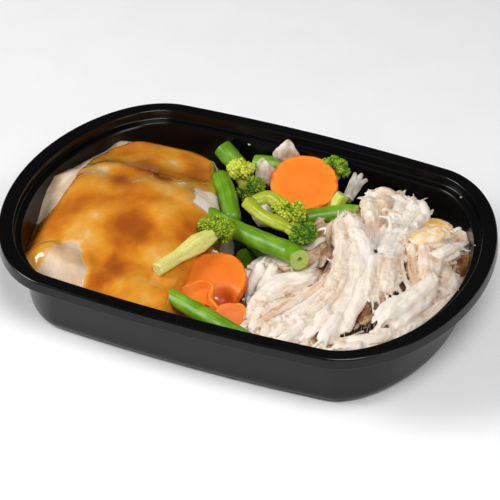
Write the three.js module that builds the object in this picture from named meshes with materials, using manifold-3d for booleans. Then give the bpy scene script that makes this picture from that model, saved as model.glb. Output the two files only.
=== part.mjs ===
// A ready meal in its tray: mashed potato under gravy at one end, shredded chicken at the
// other, and a small pile of vegetables between them. Millimetres, +Z up, long axis along X.
// The origin is under the middle of the tray, on the surface that it stands on.
import * as THREE from 'three';
import { mergeVertices } from 'three/addons/utils/BufferGeometryUtils.js';
import Module from 'manifold-3d';

const wasm = await Module();
wasm.setup();

// ---- driving dimensions -----------------------------------------------------------------

const TRAY_LENGTH = 220;        // over the rim
const TRAY_WIDTH = 160;         // over the rim, at the middle of the long sides
const TRAY_HEIGHT = 34.5;       // from the table to the top of the rim
const END_LENGTH = 45.2;        // of each rounded end, along X
const SIDE_BOW = 0.108;         // swell of the long sides, as a share of the half width
const SHEET = 1.0;              // thickness of the moulded sheet
const END_STEPS = 7;            // segments in a quarter of the outline, round the end
const SIDE_STEPS = 4;           // and along the side

const RIM_WIDTH = 7.1;          // flat flange, from the outer edge to the step
const SKIRT_DROP = 5.0;         // of the turned-down lip, below the rim's top
const SKIRT_FLARE = 0.6;        // how far the lip spreads outwards
const RIM_ROUND = 1.2;          // radius of the rim's edges
const STEP_DEPTH = 4.5;         // from the rim's top down to the lid ledge
const STEP_SLOPE = 0.5;         // how far the step leans in
const LEDGE_WIDTH = 3.1;        // of the lid ledge
const WALL_SLOPE = 0.1463;      // inward lean of the wall, for each millimetre down
const BASE_ROUND = 8.0;         // radius between wall and base, outside
const BASE_INSET = 21.3;        // from the outer edge to the flat base

const CORNER_STEPS = 2;         // segments in the corner between wall and base

const GAP = 0.3;                // clearance kept between pieces that touch
const BELOW_FLOOR = -4;         // heaps are made down to here, then trimmed to the tray

// ---- closed meshes and solids -----------------------------------------------------------

// A closed body through a list of rings, with the first and last ring filled in.
function loft(rings) {
  const count = rings[0].length;
  const positions = [];
  const index = [];
  for (const ring of rings) ring.forEach((point) => positions.push(point.x, point.y, point.z));
  for (let r = 0; r + 1 < rings.length; r += 1) {
    for (let i = 0; i < count; i += 1) {
      const a = r * count + i;
      const b = r * count + ((i + 1) % count);
      index.push(a, b, b + count, a, b + count, a + count);
    }
  }
  const fill = (ringNumber, turned) => {
    const centre = new THREE.Vector3();
    rings[ringNumber].forEach((point) => centre.add(point));
    centre.divideScalar(count);
    const hub = positions.length / 3;
    positions.push(centre.x, centre.y, centre.z);
    for (let i = 0; i < count; i += 1) {
      const a = ringNumber * count + i;
      const b = ringNumber * count + ((i + 1) % count);
      index.push(...(turned ? [hub, b, a] : [hub, a, b]));
    }
  };
  fill(0, true);
  fill(rings.length - 1, false);
  const geometry = new THREE.BufferGeometry();
  geometry.setAttribute('position', new THREE.Float32BufferAttribute(positions, 3));
  geometry.setIndex(index);
  return geometry;
}

function signedVolume(geometry) {
  const position = geometry.getAttribute('position');
  const corners = [new THREE.Vector3(), new THREE.Vector3(), new THREE.Vector3()];
  let volume = 0;
  for (let i = 0; i < geometry.index.count; i += 3) {
    corners.forEach((corner, k) => corner.fromBufferAttribute(position, geometry.index.getX(i + k)));
    volume += corners[0].dot(corners[1].clone().cross(corners[2])) / 6;
  }
  return volume;
}

function solidOf(geometry) {
  geometry.deleteAttribute('normal');
  geometry.deleteAttribute('uv');
  const merged = mergeVertices(geometry, 1e-4);
  const triVerts = Uint32Array.from(merged.index.array);
  if (signedVolume(merged) < 0) {
    for (let i = 0; i < triVerts.length; i += 3) {
      [triVerts[i], triVerts[i + 1]] = [triVerts[i + 1], triVerts[i]];
    }
  }
  const vertProperties = Float32Array.from(merged.getAttribute('position').array);
  return new wasm.Manifold(new wasm.Mesh({ numProp: 3, vertProperties, triVerts }));
}

// The largest piece of a solid that a cut has left in several.
function largest(solid) {
  const parts = solid.decompose();
  return parts.reduce((best, part) => (part.volume() > best.volume() ? part : best));
}

function boxesMeet(a, b) {
  const first = a.boundingBox();
  const second = b.boundingBox();
  return [0, 1, 2].every((k) => first.min[k] < second.max[k] && second.min[k] < first.max[k]);
}

// ---- the tray's outline -----------------------------------------------------------------

function outlinePoint(turn) {
  const halfLength = TRAY_LENGTH / 2;
  const halfWidth = TRAY_WIDTH / 2 / (1 + SIDE_BOW);
  const straight = halfLength - END_LENGTH;
  const quarter = END_STEPS + SIDE_STEPS;
  const steps = turn < quarter ? turn : 2 * quarter - turn;
  const side = turn < quarter ? 1 : -1;
  let x;
  let y;
  if (steps <= END_STEPS) {
    const angle = (steps / END_STEPS) * (Math.PI / 2);
    x = straight + END_LENGTH * Math.cos(angle);
    y = halfWidth * Math.sin(angle);
  } else {
    x = straight * (1 - (steps - END_STEPS) / SIDE_STEPS);
    y = halfWidth;
  }
  y *= 1 + SIDE_BOW * (1 - (x / halfLength) ** 2);
  return new THREE.Vector2(side * x, y);
}

// The outline moved inwards, at one height, as a ring of points.
function trayRing(inset, z) {
  const half = 2 * (END_STEPS + SIDE_STEPS);
  const small = 1e-3;
  const ring = [];
  for (let i = 0; i < 2 * half; i += 1) {
    const turn = i % half;
    const flip = i < half ? 1 : -1;
    const here = outlinePoint(turn);
    const ahead = outlinePoint(turn + small);
    const along = turn === 0 ? new THREE.Vector2(0, 1) : ahead.sub(here).normalize();
    const x = here.x - along.y * inset;
    const y = here.y + along.x * inset;
    ring.push(new THREE.Vector3(flip * x, flip * y, z));
  }
  return ring;
}

// Inset of the wall's outer face at a height, and the rounded corner between wall and base.
const wallLean = Math.hypot(1, WALL_SLOPE);
const wallFoot = BASE_INSET - BASE_ROUND * wallLean + BASE_ROUND * WALL_SLOPE;
const wallInset = (z, thickness) => wallFoot - WALL_SLOPE * z + thickness * wallLean;

function baseCorner(thickness, steps) {
  const radius = BASE_ROUND - thickness;
  const sweep = Math.PI / 2 - Math.atan(WALL_SLOPE);
  const points = [];
  for (let i = 0; i <= steps; i += 1) {
    const angle = (i / steps) * sweep;
    points.push([BASE_INSET - radius * Math.sin(angle), BASE_ROUND - radius * Math.cos(angle)]);
  }
  return points;
}

const rimTop = TRAY_HEIGHT;
const rimUnder = TRAY_HEIGHT - SHEET;
const skirtFoot = TRAY_HEIGHT - SKIRT_DROP;
const ledgeTop = TRAY_HEIGHT - STEP_DEPTH;
const stepInset = RIM_WIDTH + STEP_SLOPE;
const ledgeInner = stepInset + LEDGE_WIDTH;
const halfRound = RIM_ROUND / 2;

const TRAY_PROFILE = [
  ...baseCorner(0, CORNER_STEPS),
  [wallInset(ledgeTop - 2 * SHEET, 0), ledgeTop - 2 * SHEET],
  [ledgeInner - SHEET, ledgeTop - SHEET],
  [stepInset - SHEET, ledgeTop - SHEET],
  [RIM_WIDTH - SHEET, rimUnder],
  [SKIRT_FLARE + 2 * SHEET, rimUnder],
  [SHEET, skirtFoot],
  [0, skirtFoot],
  [SKIRT_FLARE, rimTop - RIM_ROUND],
  [SKIRT_FLARE + RIM_ROUND, rimTop],
  [RIM_WIDTH - halfRound, rimTop],
  [RIM_WIDTH, rimTop - halfRound],
  [stepInset, ledgeTop],
  [ledgeInner, ledgeTop],
  [wallInset(ledgeTop - SHEET, SHEET), ledgeTop - SHEET],
  ...baseCorner(SHEET, CORNER_STEPS).reverse(),
];

// The space that the food may fill, clear of the tray, and open far above the rim.
const CAVITY_PROFILE = [
  ...baseCorner(SHEET + GAP, CORNER_STEPS),
  [wallInset(ledgeTop - SHEET, SHEET + GAP), ledgeTop - SHEET],
  [ledgeInner + GAP, ledgeTop + GAP],
  [stepInset + GAP, ledgeTop + GAP],
  [RIM_WIDTH + GAP, rimTop],
  [RIM_WIDTH + GAP, 2 * rimTop],
];

const traySolid = solidOf(loft(TRAY_PROFILE.map(([inset, z]) => trayRing(inset, z))));
const cavity = solidOf(loft(CAVITY_PROFILE.map(([inset, z]) => trayRing(inset, z))));

// ---- heaps: a height over each point of the tray, made solid ----------------------------

const smooth = (value) => THREE.MathUtils.smoothstep(value, 0, 1);

function heap(height, area, step, grow) {
  const columns = Math.round((area.x1 - area.x0) / step);
  const rows = Math.round((area.y1 - area.y0) / step);
  const top = (i, j) => {
    const x = THREE.MathUtils.lerp(area.x0, area.x1, i / columns);
    const y = THREE.MathUtils.lerp(area.y0, area.y1, j / rows);
    return new THREE.Vector3(x, y, Math.max(height(x, y) + grow, BELOW_FLOOR + 1));
  };
  const rings = [];
  for (let j = 0; j <= rows; j += 1) {
    const ring = [];
    for (let i = 0; i <= columns; i += 1) ring.push(top(i, j));
    ring.push(new THREE.Vector3(area.x1, ring[columns].y, BELOW_FLOOR));
    ring.push(new THREE.Vector3(area.x0, ring[0].y, BELOW_FLOOR));
    rings.push(ring);
  }
  return solidOf(loft(rings));
}

// A soft round rise: full height at its centre, half of it at its radius.
function rise(x, y, [cx, cy, radius, height], sharpness = 2) {
  return height / (1 + (Math.hypot(x - cx, y - cy) / radius) ** (2 * sharpness));
}

// ---- mashed potato and its gravy --------------------------------------------------------

const MASH_AREA = { x0: -106, x1: -4, y0: -74, y1: 76 };
const MASH_STEP = 10.2;
const MASH_LEVEL = 25;
const MASH_DOME = { x: -54, y: -4, halfLength: 37, halfWidth: 29, height: 12 };
const MASH_LUMPS = [            // x, y, radius, height: spoon marks are below zero
  [-74, 17, 8, 3.5], [-75, -3, 10, 2.5], [-63, -30, 9, 2.5], [-50, 4, 9, 2.5],
  [-36, -10, 7, 2], [-35, 18, 9, 3], [-28, -31, 8, 3], [-28, 4, 8, 3],
  [-64, -50, 8, 4.5], [-75, -47, 6, 4], [-30, -56, 9, 3], [-58, 46, 14, 2],
  [-62, 6, 7, -2.5], [-44, -22, 9, -3], [-46, 18, 7, -2.5], [-78, -17, 7, -2],
  [-47, -48, 9, -2.5], [-18, -14, 7, -2],
];

function mashHeight(x, y) {
  const toVegetables = smooth((-4 - x) / 12);
  const toBack = 1 - 0.6 * smooth((y - 48) / 22);
  const toFront = 1 - 0.2 * smooth((-50 - y) / 18);
  const toEnd = 1 - 0.4 * smooth((-84 - x) / 18);
  const dx = (x - MASH_DOME.x) / MASH_DOME.halfLength;
  const dy = (y - MASH_DOME.y) / MASH_DOME.halfWidth;
  const dome = MASH_DOME.height / (1 + (dx * dx + dy * dy) ** 3);
  const lumps = MASH_LUMPS.reduce((sum, lump) => sum + rise(x, y, lump), 0);
  return (MASH_LEVEL + dome + lumps) * toVegetables * toBack * toFront * toEnd;
}

const GRAVY_DEPTH = 1.6;
const GRAVY_EDGE = [            // outline of the gravy, seen from above
  [-100, -14], [-91, -3], [-87, 18], [-84, 34], [-76, 50], [-64, 60], [-48, 58], [-34, 46],
  [-32, 28], [-30, 18], [-25, 10], [-18, 3], [-11, -2], [-9, -20], [-9, -45], [-15, -67],
  [-50, -67], [-54, -56], [-57, -47], [-66, -40], [-76, -36], [-86, -42], [-96, -36],
];

const mashSolid = (grow) => heap(mashHeight, MASH_AREA, MASH_STEP, grow).intersect(cavity);

function gravySolid() {
  const outline = new THREE.Shape(GRAVY_EDGE.map(([x, y]) => new THREE.Vector2(x, y)));
  const sheet = new THREE.ExtrudeGeometry(outline, { depth: 2 * TRAY_HEIGHT, bevelEnabled: false });
  const over = heap(mashHeight, MASH_AREA, MASH_STEP, GAP + GRAVY_DEPTH);
  const under = heap(mashHeight, MASH_AREA, MASH_STEP, GAP);
  return over.intersect(solidOf(sheet)).subtract(under).intersect(cavity);
}

// ---- shredded chicken -------------------------------------------------------------------

const CHICKEN_AREA = { x0: -2, x1: 102, y0: -74, y1: 70 };
const CHICKEN_STEP = 9;
const CHICKEN_LEVEL = 26;
const STRIP_FALL = 7;           // how far a strip's top falls away over its half width
const STRIPS = [                // half width, then x, y, z along the strip's top
  [6.5, [36, 24, 40], [48, 8, 37], [51, -12, 35], [51, -30, 33], [48, -47, 30], [43, -60, 27]],
  [5, [37, -6, 32], [27, -24, 30], [24, -50, 26]],
  [6, [10, -19, 26], [17, -15, 28], [28, -13, 30]],
  [4.5, [58, 6, 34], [63, -17, 33], [61, -37, 31], [56, -54, 28]],
  [6, [62, 6, 35], [67, -8, 33], [73, -19, 30]],
  [6, [42, 43, 34], [48, 51, 34], [57, 47, 34], [66, 44, 30]],
  [6, [50, 34, 37], [60, 32, 36], [64, 22, 36]],
  [6, [70, 21, 35], [74, 29, 35], [84, 32, 33]],
  [5, [69, 17, 34], [80, 8, 32], [88, -4, 28]],
  [4.5, [80, 16, 31], [87, 25, 30], [92, 31, 29]],
  [6, [86, 8, 29], [94, 0, 27], [96, -8, 25]],
  [5.5, [86, 7, 30], [84, -15, 31], [77, -33, 30], [73, -52, 27]],
  [6, [30, -56, 26], [43, -62, 27], [58, -63, 28], [72, -58, 29], [83, -48, 27]],
];

function stripHeight(x, y, [halfWidth, ...points]) {
  const here = new THREE.Vector3(x, y, 0);
  let height = -Infinity;
  for (let i = 0; i + 1 < points.length; i += 1) {
    const start = new THREE.Vector3(points[i][0], points[i][1], 0);
    const end = new THREE.Vector3(points[i + 1][0], points[i + 1][1], 0);
    const line = new THREE.Line3(start, end);
    const share = line.closestPointToPointParameter(here, true);
    const off = line.at(share, new THREE.Vector3()).distanceTo(here) / halfWidth;
    const top = THREE.MathUtils.lerp(points[i][2], points[i + 1][2], share);
    height = Math.max(height, top - STRIP_FALL * off * off);
  }
  return height;
}

function chickenHeight(x, y) {
  const toCarrots = smooth(((x + 2) * 0.971 + (y - 12) * 0.236) / 11);
  const toBeans = smooth(((x - 6) * 0.844 - y * 0.537 + 6) / 14);
  const toBack = smooth((66 - y) / 18);
  const toEnd = 1 - 0.22 * smooth((x - 80) / 20);
  const toFront = 1 - 0.16 * smooth((-44 - y) / 22);
  const base = CHICKEN_LEVEL * toCarrots * toBeans * toBack * toEnd * toFront;
  return Math.max(base, ...STRIPS.map((strip) => stripHeight(x, y, strip)));
}

const chickenSolid = () => heap(chickenHeight, CHICKEN_AREA, CHICKEN_STEP, 0).intersect(cavity);

// ---- vegetables -------------------------------------------------------------------------

// A round stem or pod along a smooth curve. A blunt end is a clean cut, a round one is a tip.
function stem({ path, radii, tips = [false, false], sides = 8, steps = 5 }, grow) {
  const points = path.map(([x, y, z]) => new THREE.Vector3(x, y, z));
  const curve = new THREE.CatmullRomCurve3(points);
  const frames = curve.computeFrenetFrames(steps, false);
  const ringAt = (step, radius, shift) => {
    const centre = curve.getPointAt(step / steps).addScaledVector(frames.tangents[step], shift);
    const ring = [];
    for (let i = 0; i < sides; i += 1) {
      const angle = (i / sides) * 2 * Math.PI;
      ring.push(centre.clone()
        .addScaledVector(frames.normals[step], radius * Math.cos(angle))
        .addScaledVector(frames.binormals[step], radius * Math.sin(angle)));
    }
    return ring;
  };
  const rings = [];
  for (let step = 0; step <= steps; step += 1) {
    const radius = THREE.MathUtils.lerp(radii[0], radii[1], step / steps) + grow;
    const end = step === 0 ? 0 : 1;
    if (step === 0 && tips[end]) rings.push(ringAt(0, radius * 0.5, -radius * 0.8));
    const shift = step === 0 ? -grow : (step === steps ? grow : 0);
    rings.push(ringAt(step, radius, shift));
    if (step === steps && tips[end]) rings.push(ringAt(steps, radius * 0.5, radius * 0.8));
  }
  return solidOf(loft(rings));
}

// A ball of buds, longer or flatter along each axis, with an uneven surface.
function crown({ centre, size, roughness = 0.1, detail = 2 }, grow) {
  const geometry = new THREE.IcosahedronGeometry(1, detail);
  const position = geometry.getAttribute('position');
  const point = new THREE.Vector3();
  for (let i = 0; i < position.count; i += 1) {
    point.fromBufferAttribute(position, i);
    const bumps = Math.sin(7 * point.x + centre[0]) * Math.sin(7 * point.y + centre[1])
      + Math.sin(8 * point.z + centre[2]) * Math.cos(6 * point.x);
    const swell = 1 + roughness * bumps;
    point.set(
      centre[0] + point.x * (size[0] * swell + grow),
      centre[1] + point.y * (size[1] * swell + grow),
      centre[2] + point.z * (size[2] * swell + grow),
    );
    position.setXYZ(i, point.x, point.y, point.z);
  }
  return solidOf(geometry);
}

const floret = (stems, crowns, grow) => [
  ...stems.map((one) => stem(one, grow)),
  ...crowns.map((one) => crown(one, grow)),
].reduce((sum, part) => sum.add(part));

// A slice of carrot. Curl rolls it about its own Y axis, to a radius of that many millimetres.
const COIN_SIDES = 18;
const COIN_EDGE = 0.5;
function coin({ centre, radius, thickness, tilt, curl = 0 }, grow) {
  const half = thickness / 2 + grow;
  const outer = radius + grow;
  const profile = [
    [0.5 * outer, -half], [outer - COIN_EDGE, -half], [outer, COIN_EDGE - half],
    [outer, half - COIN_EDGE], [outer - COIN_EDGE, half], [0.5 * outer, half],
  ];
  const placed = new THREE.Matrix4()
    .makeRotationFromEuler(new THREE.Euler(...tilt.map(THREE.MathUtils.degToRad)))
    .setPosition(...centre);
  return solidOf(loft(profile.map(([r, z]) => {
    const ring = [];
    for (let i = 0; i < COIN_SIDES; i += 1) {
      const angle = (i / COIN_SIDES) * 2 * Math.PI;
      const uneven = 1 + 0.02 * Math.cos(2 * angle + 1) + 0.01 * Math.cos(5 * angle);
      const x = r * uneven * Math.cos(angle);
      const y = r * uneven * Math.sin(angle);
      const rolled = curl === 0
        ? new THREE.Vector3(x, y, z)
        : new THREE.Vector3((curl + z) * Math.sin(x / curl), y, (curl + z) * Math.cos(x / curl) - curl);
      ring.push(rolled.applyMatrix4(placed));
    }
    return ring;
  })));
}

const GREEN = 0x3f8a1c;
const PALE_GREEN = 0xb9c84a;
const ORANGE = 0xf5821f;
const WHITE = 0xe6ddcf;

// From the top of the pile down: each piece is trimmed clear of those before it.
const VEGETABLES = [
  ['carrot_slice_top', ORANGE, (grow) => coin(
    { centre: [8, 46, 29], radius: 15.2, thickness: 5.4, tilt: [15.5, 4, 0] }, grow)],
  ['broccoli_long', PALE_GREEN, (grow) => floret(
    [{ path: [[-5.5, 13.5, 35.5], [4, 6, 36.5], [17.5, 2.5, 36]], radii: [3.2, 2.7] }],
    [{ centre: [24.5, 5, 35], size: [6.6, 6.2, 5.2] }], grow)],
  ['bean_long', GREEN, (grow) => stem(
    { path: [[-20, 5, 30], [-7, -1.5, 31.5], [12, -7, 32.5], [31.5, -13.5, 33]], radii: [3.9, 4.8],
      tips: [true, false], sides: 10, steps: 7 }, grow)],
  ['bean_bent', GREEN, (grow) => stem(
    { path: [[-28, 34.5, 29], [-21, 25, 29], [-13, 13, 26]], radii: [4.3, 4.1],
      tips: [true, true] }, grow)],
  ['broccoli_curled', PALE_GREEN, (grow) => floret(
    [{ path: [[-6, 22, 31], [-1, 27, 32.5], [11, 19, 32]], radii: [2.6, 2.9] }],
    [{ centre: [12.5, 17.5, 31.5], size: [7, 5.6, 4.6] }], grow)],
  ['broccoli_front', PALE_GREEN, (grow) => floret(
    [{ path: [[-24, -43, 31], [-17, -27, 32.5], [-12.5, -15, 33.5]], radii: [3.1, 3.3] }],
    [{ centre: [-11.5, -9.5, 34], size: [6.6, 5.4, 4.6] }], grow)],
  ['bean_front', GREEN, (grow) => stem(
    { path: [[-15, -49, 23.5], [5, -56, 24.5], [27, -61, 25]], radii: [4.1, 4.4],
      tips: [false, true] }, grow)],
  ['carrot_curl', ORANGE, (grow) => coin(
    { centre: [1, -46, 24], radius: 12, thickness: 2.6, tilt: [28, -8, 20], curl: 12 }, grow)],
  ['carrot_slice_front', ORANGE, (grow) => coin(
    { centre: [-2.5, -32, 24], radius: 15, thickness: 4.2, tilt: [16, -4, 0] }, grow)],
  ['carrot_slice_corner', ORANGE, (grow) => coin(
    { centre: [14, -50, 22], radius: 8.2, thickness: 3.5, tilt: [20, 20, 0] }, grow)],
  ['broccoli_back', PALE_GREEN, (grow) => floret(
    [{ path: [[-22.5, 45, 26], [-16.5, 43, 20], [-10, 41, 12]], radii: [3.4, 4.2] }],
    [{ centre: [-23.5, 45, 29.5], size: [5.4, 5, 4.4] }], grow)],
  ['bean_back', GREEN, (grow) => stem(
    { path: [[-39, 61.5, 26.5], [-29.5, 57.5, 21.5], [-20, 52, 14]], radii: [4.5, 4.5] }, grow)],
  ['cauliflower_back', WHITE, (grow) => crown(
    { centre: [-7.5, 62, 31.2], size: [5, 5.4, 5.4], roughness: 0.08 }, grow)],
  ['cauliflower_side', WHITE, (grow) => crown(
    { centre: [-12.8, 50.5, 26], size: [4.6, 5, 6], roughness: 0.08 }, grow)],
  ['bean_wall', GREEN, (grow) => stem(
    { path: [[-22.5, 62, 22], [-11, 62.3, 24], [-2, 61.5, 25]], radii: [4.2, 4.2] }, grow)],
  ['broccoli_far', PALE_GREEN, (grow) => floret(
    [{ path: [[16.5, 58, 26], [13, 52, 17], [11, 48, 9]], radii: [3, 3.6] }],
    [{ centre: [16.5, 61, 30], size: [6.6, 5.6, 6] }], grow)],
  ['broccoli_cut', PALE_GREEN, (grow) => stem(
    { path: [[27, 44.5, 29.5], [25, 42, 25], [22, 38, 17]], radii: [3, 3.4] }, grow)],
  ['bean_right', GREEN, (grow) => stem(
    { path: [[16, 30.5, 23], [26, 35.5, 24.5], [37, 40.5, 26.5]], radii: [3.9, 3.7] }, grow)],
  ['onion_shred', WHITE, (grow) => floret(
    [{ path: [[29, 46, 27], [28.5, 53, 29], [28, 59, 31]], radii: [1.6, 1.4], sides: 6, steps: 4 },
      { path: [[28.8, 50, 28], [30, 56, 29.5], [32, 60.5, 29.5]], radii: [1.4, 1.2], sides: 6, steps: 4 }],
    [], grow)],
  ['cauliflower_middle', WHITE, (grow) => crown(
    { centre: [0, 22, 24.5], size: [6, 6, 5.5], roughness: 0.08 }, grow)],
  ['bean_low_left', GREEN, (grow) => stem(
    { path: [[-6, 12, 7], [-1, 1, 6.5], [4, -12, 6]], radii: [4.2, 4.2], tips: [true, true] }, grow)],
  ['bean_low_right', GREEN, (grow) => stem(
    { path: [[-9, 20, 14], [3, 10, 15], [16, -1, 16]], radii: [4, 4], tips: [true, true] }, grow)],
];

// ---- the scene --------------------------------------------------------------------------

function meshOf(name, solid, colour, roughness) {
  const { vertProperties, triVerts } = solid.getMesh();
  const geometry = new THREE.BufferGeometry();
  geometry.setAttribute('position', new THREE.BufferAttribute(vertProperties, 3));
  geometry.setIndex(new THREE.BufferAttribute(triVerts, 1));
  geometry.computeBoundingBox();
  const centre = geometry.boundingBox.getCenter(new THREE.Vector3());
  geometry.translate(-centre.x, -centre.y, -centre.z);
  const material = new THREE.MeshStandardMaterial({ color: colour, roughness, metalness: 0 });
  const mesh = new THREE.Mesh(geometry, material);
  mesh.name = name;
  mesh.position.copy(centre);
  return mesh;
}

const meal = new THREE.Group();
meal.add(meshOf('tray', traySolid, 0x0b0b0c, 0.3));

const grown = [];
function trim(solid) {
  return grown.reduce((left, other) => (boxesMeet(left, other) ? left.subtract(other) : left), solid);
}

const vegetables = new THREE.Group();
for (const [name, colour, shape] of VEGETABLES) {
  const solid = largest(trim(shape(0).intersect(cavity)));
  vegetables.add(meshOf(name, solid, colour, 0.45));
  grown.push(shape(GAP));
}
meal.add(vegetables);

meal.add(meshOf('gravy', largest(trim(gravySolid())), 0xc9741c, 0.25));
meal.add(meshOf('mashed_potato', largest(trim(mashSolid(0))), 0xe9dfcb, 0.7));
meal.add(meshOf('shredded_chicken', largest(trim(chickenSolid())), 0xe6d6c4, 0.6));

export default meal;
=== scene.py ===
import math

import bmesh
import bpy
import numpy as np
from mathutils import Matrix, Vector, kdtree, noise


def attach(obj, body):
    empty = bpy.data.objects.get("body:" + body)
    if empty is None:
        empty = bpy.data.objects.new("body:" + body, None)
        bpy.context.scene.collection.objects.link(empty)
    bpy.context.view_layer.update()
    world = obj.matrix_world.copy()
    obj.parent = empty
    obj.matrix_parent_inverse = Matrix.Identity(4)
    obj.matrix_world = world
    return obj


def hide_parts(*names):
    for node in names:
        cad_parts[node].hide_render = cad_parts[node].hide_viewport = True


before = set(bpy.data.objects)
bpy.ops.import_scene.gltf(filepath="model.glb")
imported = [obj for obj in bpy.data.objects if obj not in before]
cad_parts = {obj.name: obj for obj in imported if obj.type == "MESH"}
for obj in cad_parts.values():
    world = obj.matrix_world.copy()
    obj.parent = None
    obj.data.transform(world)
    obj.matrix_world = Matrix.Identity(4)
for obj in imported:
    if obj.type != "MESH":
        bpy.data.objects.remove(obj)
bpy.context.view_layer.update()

# ---- the table, the lights and the camera -----------------------------------------------
# The meal stands on a plain pale table. Two soft boxes light it, one low on the left and one
# high on the right, with a weak one near the right end; all else around is dark.
MM = 0.001
RIM_TOP = 34.5                       # millimetres, the height that the camera looks at
AZIMUTH, ELEVATION, ROLL = 22.79, 35.11, 0.727
DISTANCE = 1507.65
FOCAL_LENGTH = 247.06
CAMERA_SHIFT = (0.0042, -0.0518)
TABLE_HALF, TABLE_TOP = 6000, -0.1
ROOM_LIGHT = 0.04

scene = bpy.context.scene
scene.view_settings.view_transform = "Standard"


def srgb(red, green, blue):
    """A colour as the eye reads it, 0 to 255, made linear for a shader."""
    values = []
    for share in (red / 255, green / 255, blue / 255):
        values.append(share / 12.92 if share <= 0.04045 else ((share + 0.055) / 1.055) ** 2.4)
    return (*values, 1.0)


def add_node(tree, kind, links=None, **settings):
    """A node of one kind. links gives each input a value or another node's socket."""
    node = tree.nodes.new("ShaderNode" + kind)
    for name, value in settings.items():
        setattr(node, name, value)
    for name, value in (links or {}).items():
        if isinstance(value, bpy.types.NodeSocket):
            tree.links.new(value, node.inputs[name])
        else:
            node.inputs[name].default_value = value
    return node


def new_material(name, **fixed):
    """A material with one Principled shader, and the place of each point on its piece.
    The fixed values go straight on the shader's sockets."""
    material = bpy.data.materials.new(name)
    material.use_nodes = True
    tree = material.node_tree
    shader = tree.nodes["Principled BSDF"]
    for label, value in fixed.items():
        socket = label.replace("_", " ").title().replace("Ior", "IOR")
        shader.inputs[socket].default_value = value
    return material, tree, shader, add_node(tree, "TexCoord").outputs["Object"]


def painted(tree, shader, colour, roughness=None):
    """Joins a colour to the shader, and a roughness if it varies."""
    tree.links.new(colour, shader.inputs["Base Color"])
    if roughness:
        tree.links.new(roughness, shader.inputs["Roughness"])


def ramp(tree, factor, *stops):
    """Colours along a factor: each stop is a place from 0 to 1 and a colour."""
    node = add_node(tree, "ValToRGB", {"Fac": factor})
    elements = node.color_ramp.elements
    while len(elements) < len(stops):
        elements.new(0.5)
    for element, (place, colour) in zip(elements, stops):
        element.position = place
        element.color = colour
    return node.outputs["Color"]


def effect(name, inputs, outputs):
    """An empty shader effect that several materials use, with named inputs and outputs."""
    group = bpy.data.node_groups.new(name, "ShaderNodeTree")
    for label, way in [(n, "INPUT") for n in inputs] + [(n, "OUTPUT") for n in outputs]:
        kind = "NodeSocketVector" if label in ("Vector", "Normal") else "NodeSocketFloat"
        group.interface.new_socket(label, in_out=way, socket_type=kind)
    return (group, group.nodes.new("NodeGroupInput").outputs,
            group.nodes.new("NodeGroupOutput").inputs)


# Unevenness: soft blotches between a low and a high value, for wetness and for colour.
unevenness, given, gives = effect("unevenness", ("Vector", "Scale", "Detail", "Low", "High"),
                                  ("Blotches", "Value"))
blotches = add_node(unevenness, "TexNoise", {name: given[name] for name in
                                             ("Vector", "Scale", "Detail")})
ranged = add_node(unevenness, "MapRange", {"Value": blotches.outputs["Fac"], "From Min": 0.3,
                                           "From Max": 0.7, "To Min": given["Low"],
                                           "To Max": given["High"]})
unevenness.links.new(blotches.outputs["Fac"], gives["Blotches"])
unevenness.links.new(ranged.outputs["Result"], gives["Value"])


def uneven(tree, place, scale, detail, low, high):
    """Blotches of one size: as they are, and ranged from low to high."""
    node = add_node(tree, "Group", {"Vector": place, "Scale": scale, "Detail": detail,
                                    "Low": low, "High": high}, node_tree=unevenness)
    return node.outputs["Blotches"], node.outputs["Value"]


# Surface grain: fine bumps of one size, as wide and as deep as each surface needs.
surface_grain, given, gives = effect("surface grain", ("Vector", "Scale", "Strength", "Depth"),
                                     ("Normal",))
grains = add_node(surface_grain, "TexNoise", {"Vector": given["Vector"],
                                              "Scale": given["Scale"], "Detail": 3.0})
relief = add_node(surface_grain, "Bump", {"Height": grains.outputs["Fac"],
                                          "Strength": given["Strength"],
                                          "Distance": given["Depth"]})
surface_grain.links.new(relief.outputs["Normal"], gives["Normal"])


def grained(tree, shader, place, scale, strength, depth):
    """Grain on a shader, depth millimetres deep."""
    node = add_node(tree, "Group", {"Vector": place, "Scale": scale, "Strength": strength,
                                    "Depth": depth * MM}, node_tree=surface_grain)
    tree.links.new(node.outputs["Normal"], shader.inputs["Normal"])


table_mesh = bpy.data.meshes.new("table")
table_mesh.from_pydata(
    [(side * TABLE_HALF * MM, end * TABLE_HALF * MM, TABLE_TOP * MM)
     for side, end in ((-1, -1), (1, -1), (1, 1), (-1, 1))], [], [(0, 1, 2, 3)])
table = bpy.data.objects.new("table", table_mesh)
scene.collection.objects.link(table)
table_paint, tree, shader, place = new_material("table paint", roughness=0.9)
speckle, _ = uneven(tree, place, 40.0, 3.0, 0.0, 1.0)
painted(tree, shader, ramp(tree, speckle, (0.3, srgb(248, 248, 248)), (0.7, srgb(251, 251, 251))))
grained(tree, shader, place, 300.0, 0.05, 0.1)
table_mesh.materials.append(table_paint)

scene.world = bpy.data.worlds.new("dark room")
scene.world.use_nodes = True
room = scene.world.node_tree.nodes["Background"]
room.inputs["Color"].default_value = (1, 1, 1, 1)
room.inputs["Strength"].default_value = ROOM_LIGHT

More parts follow.
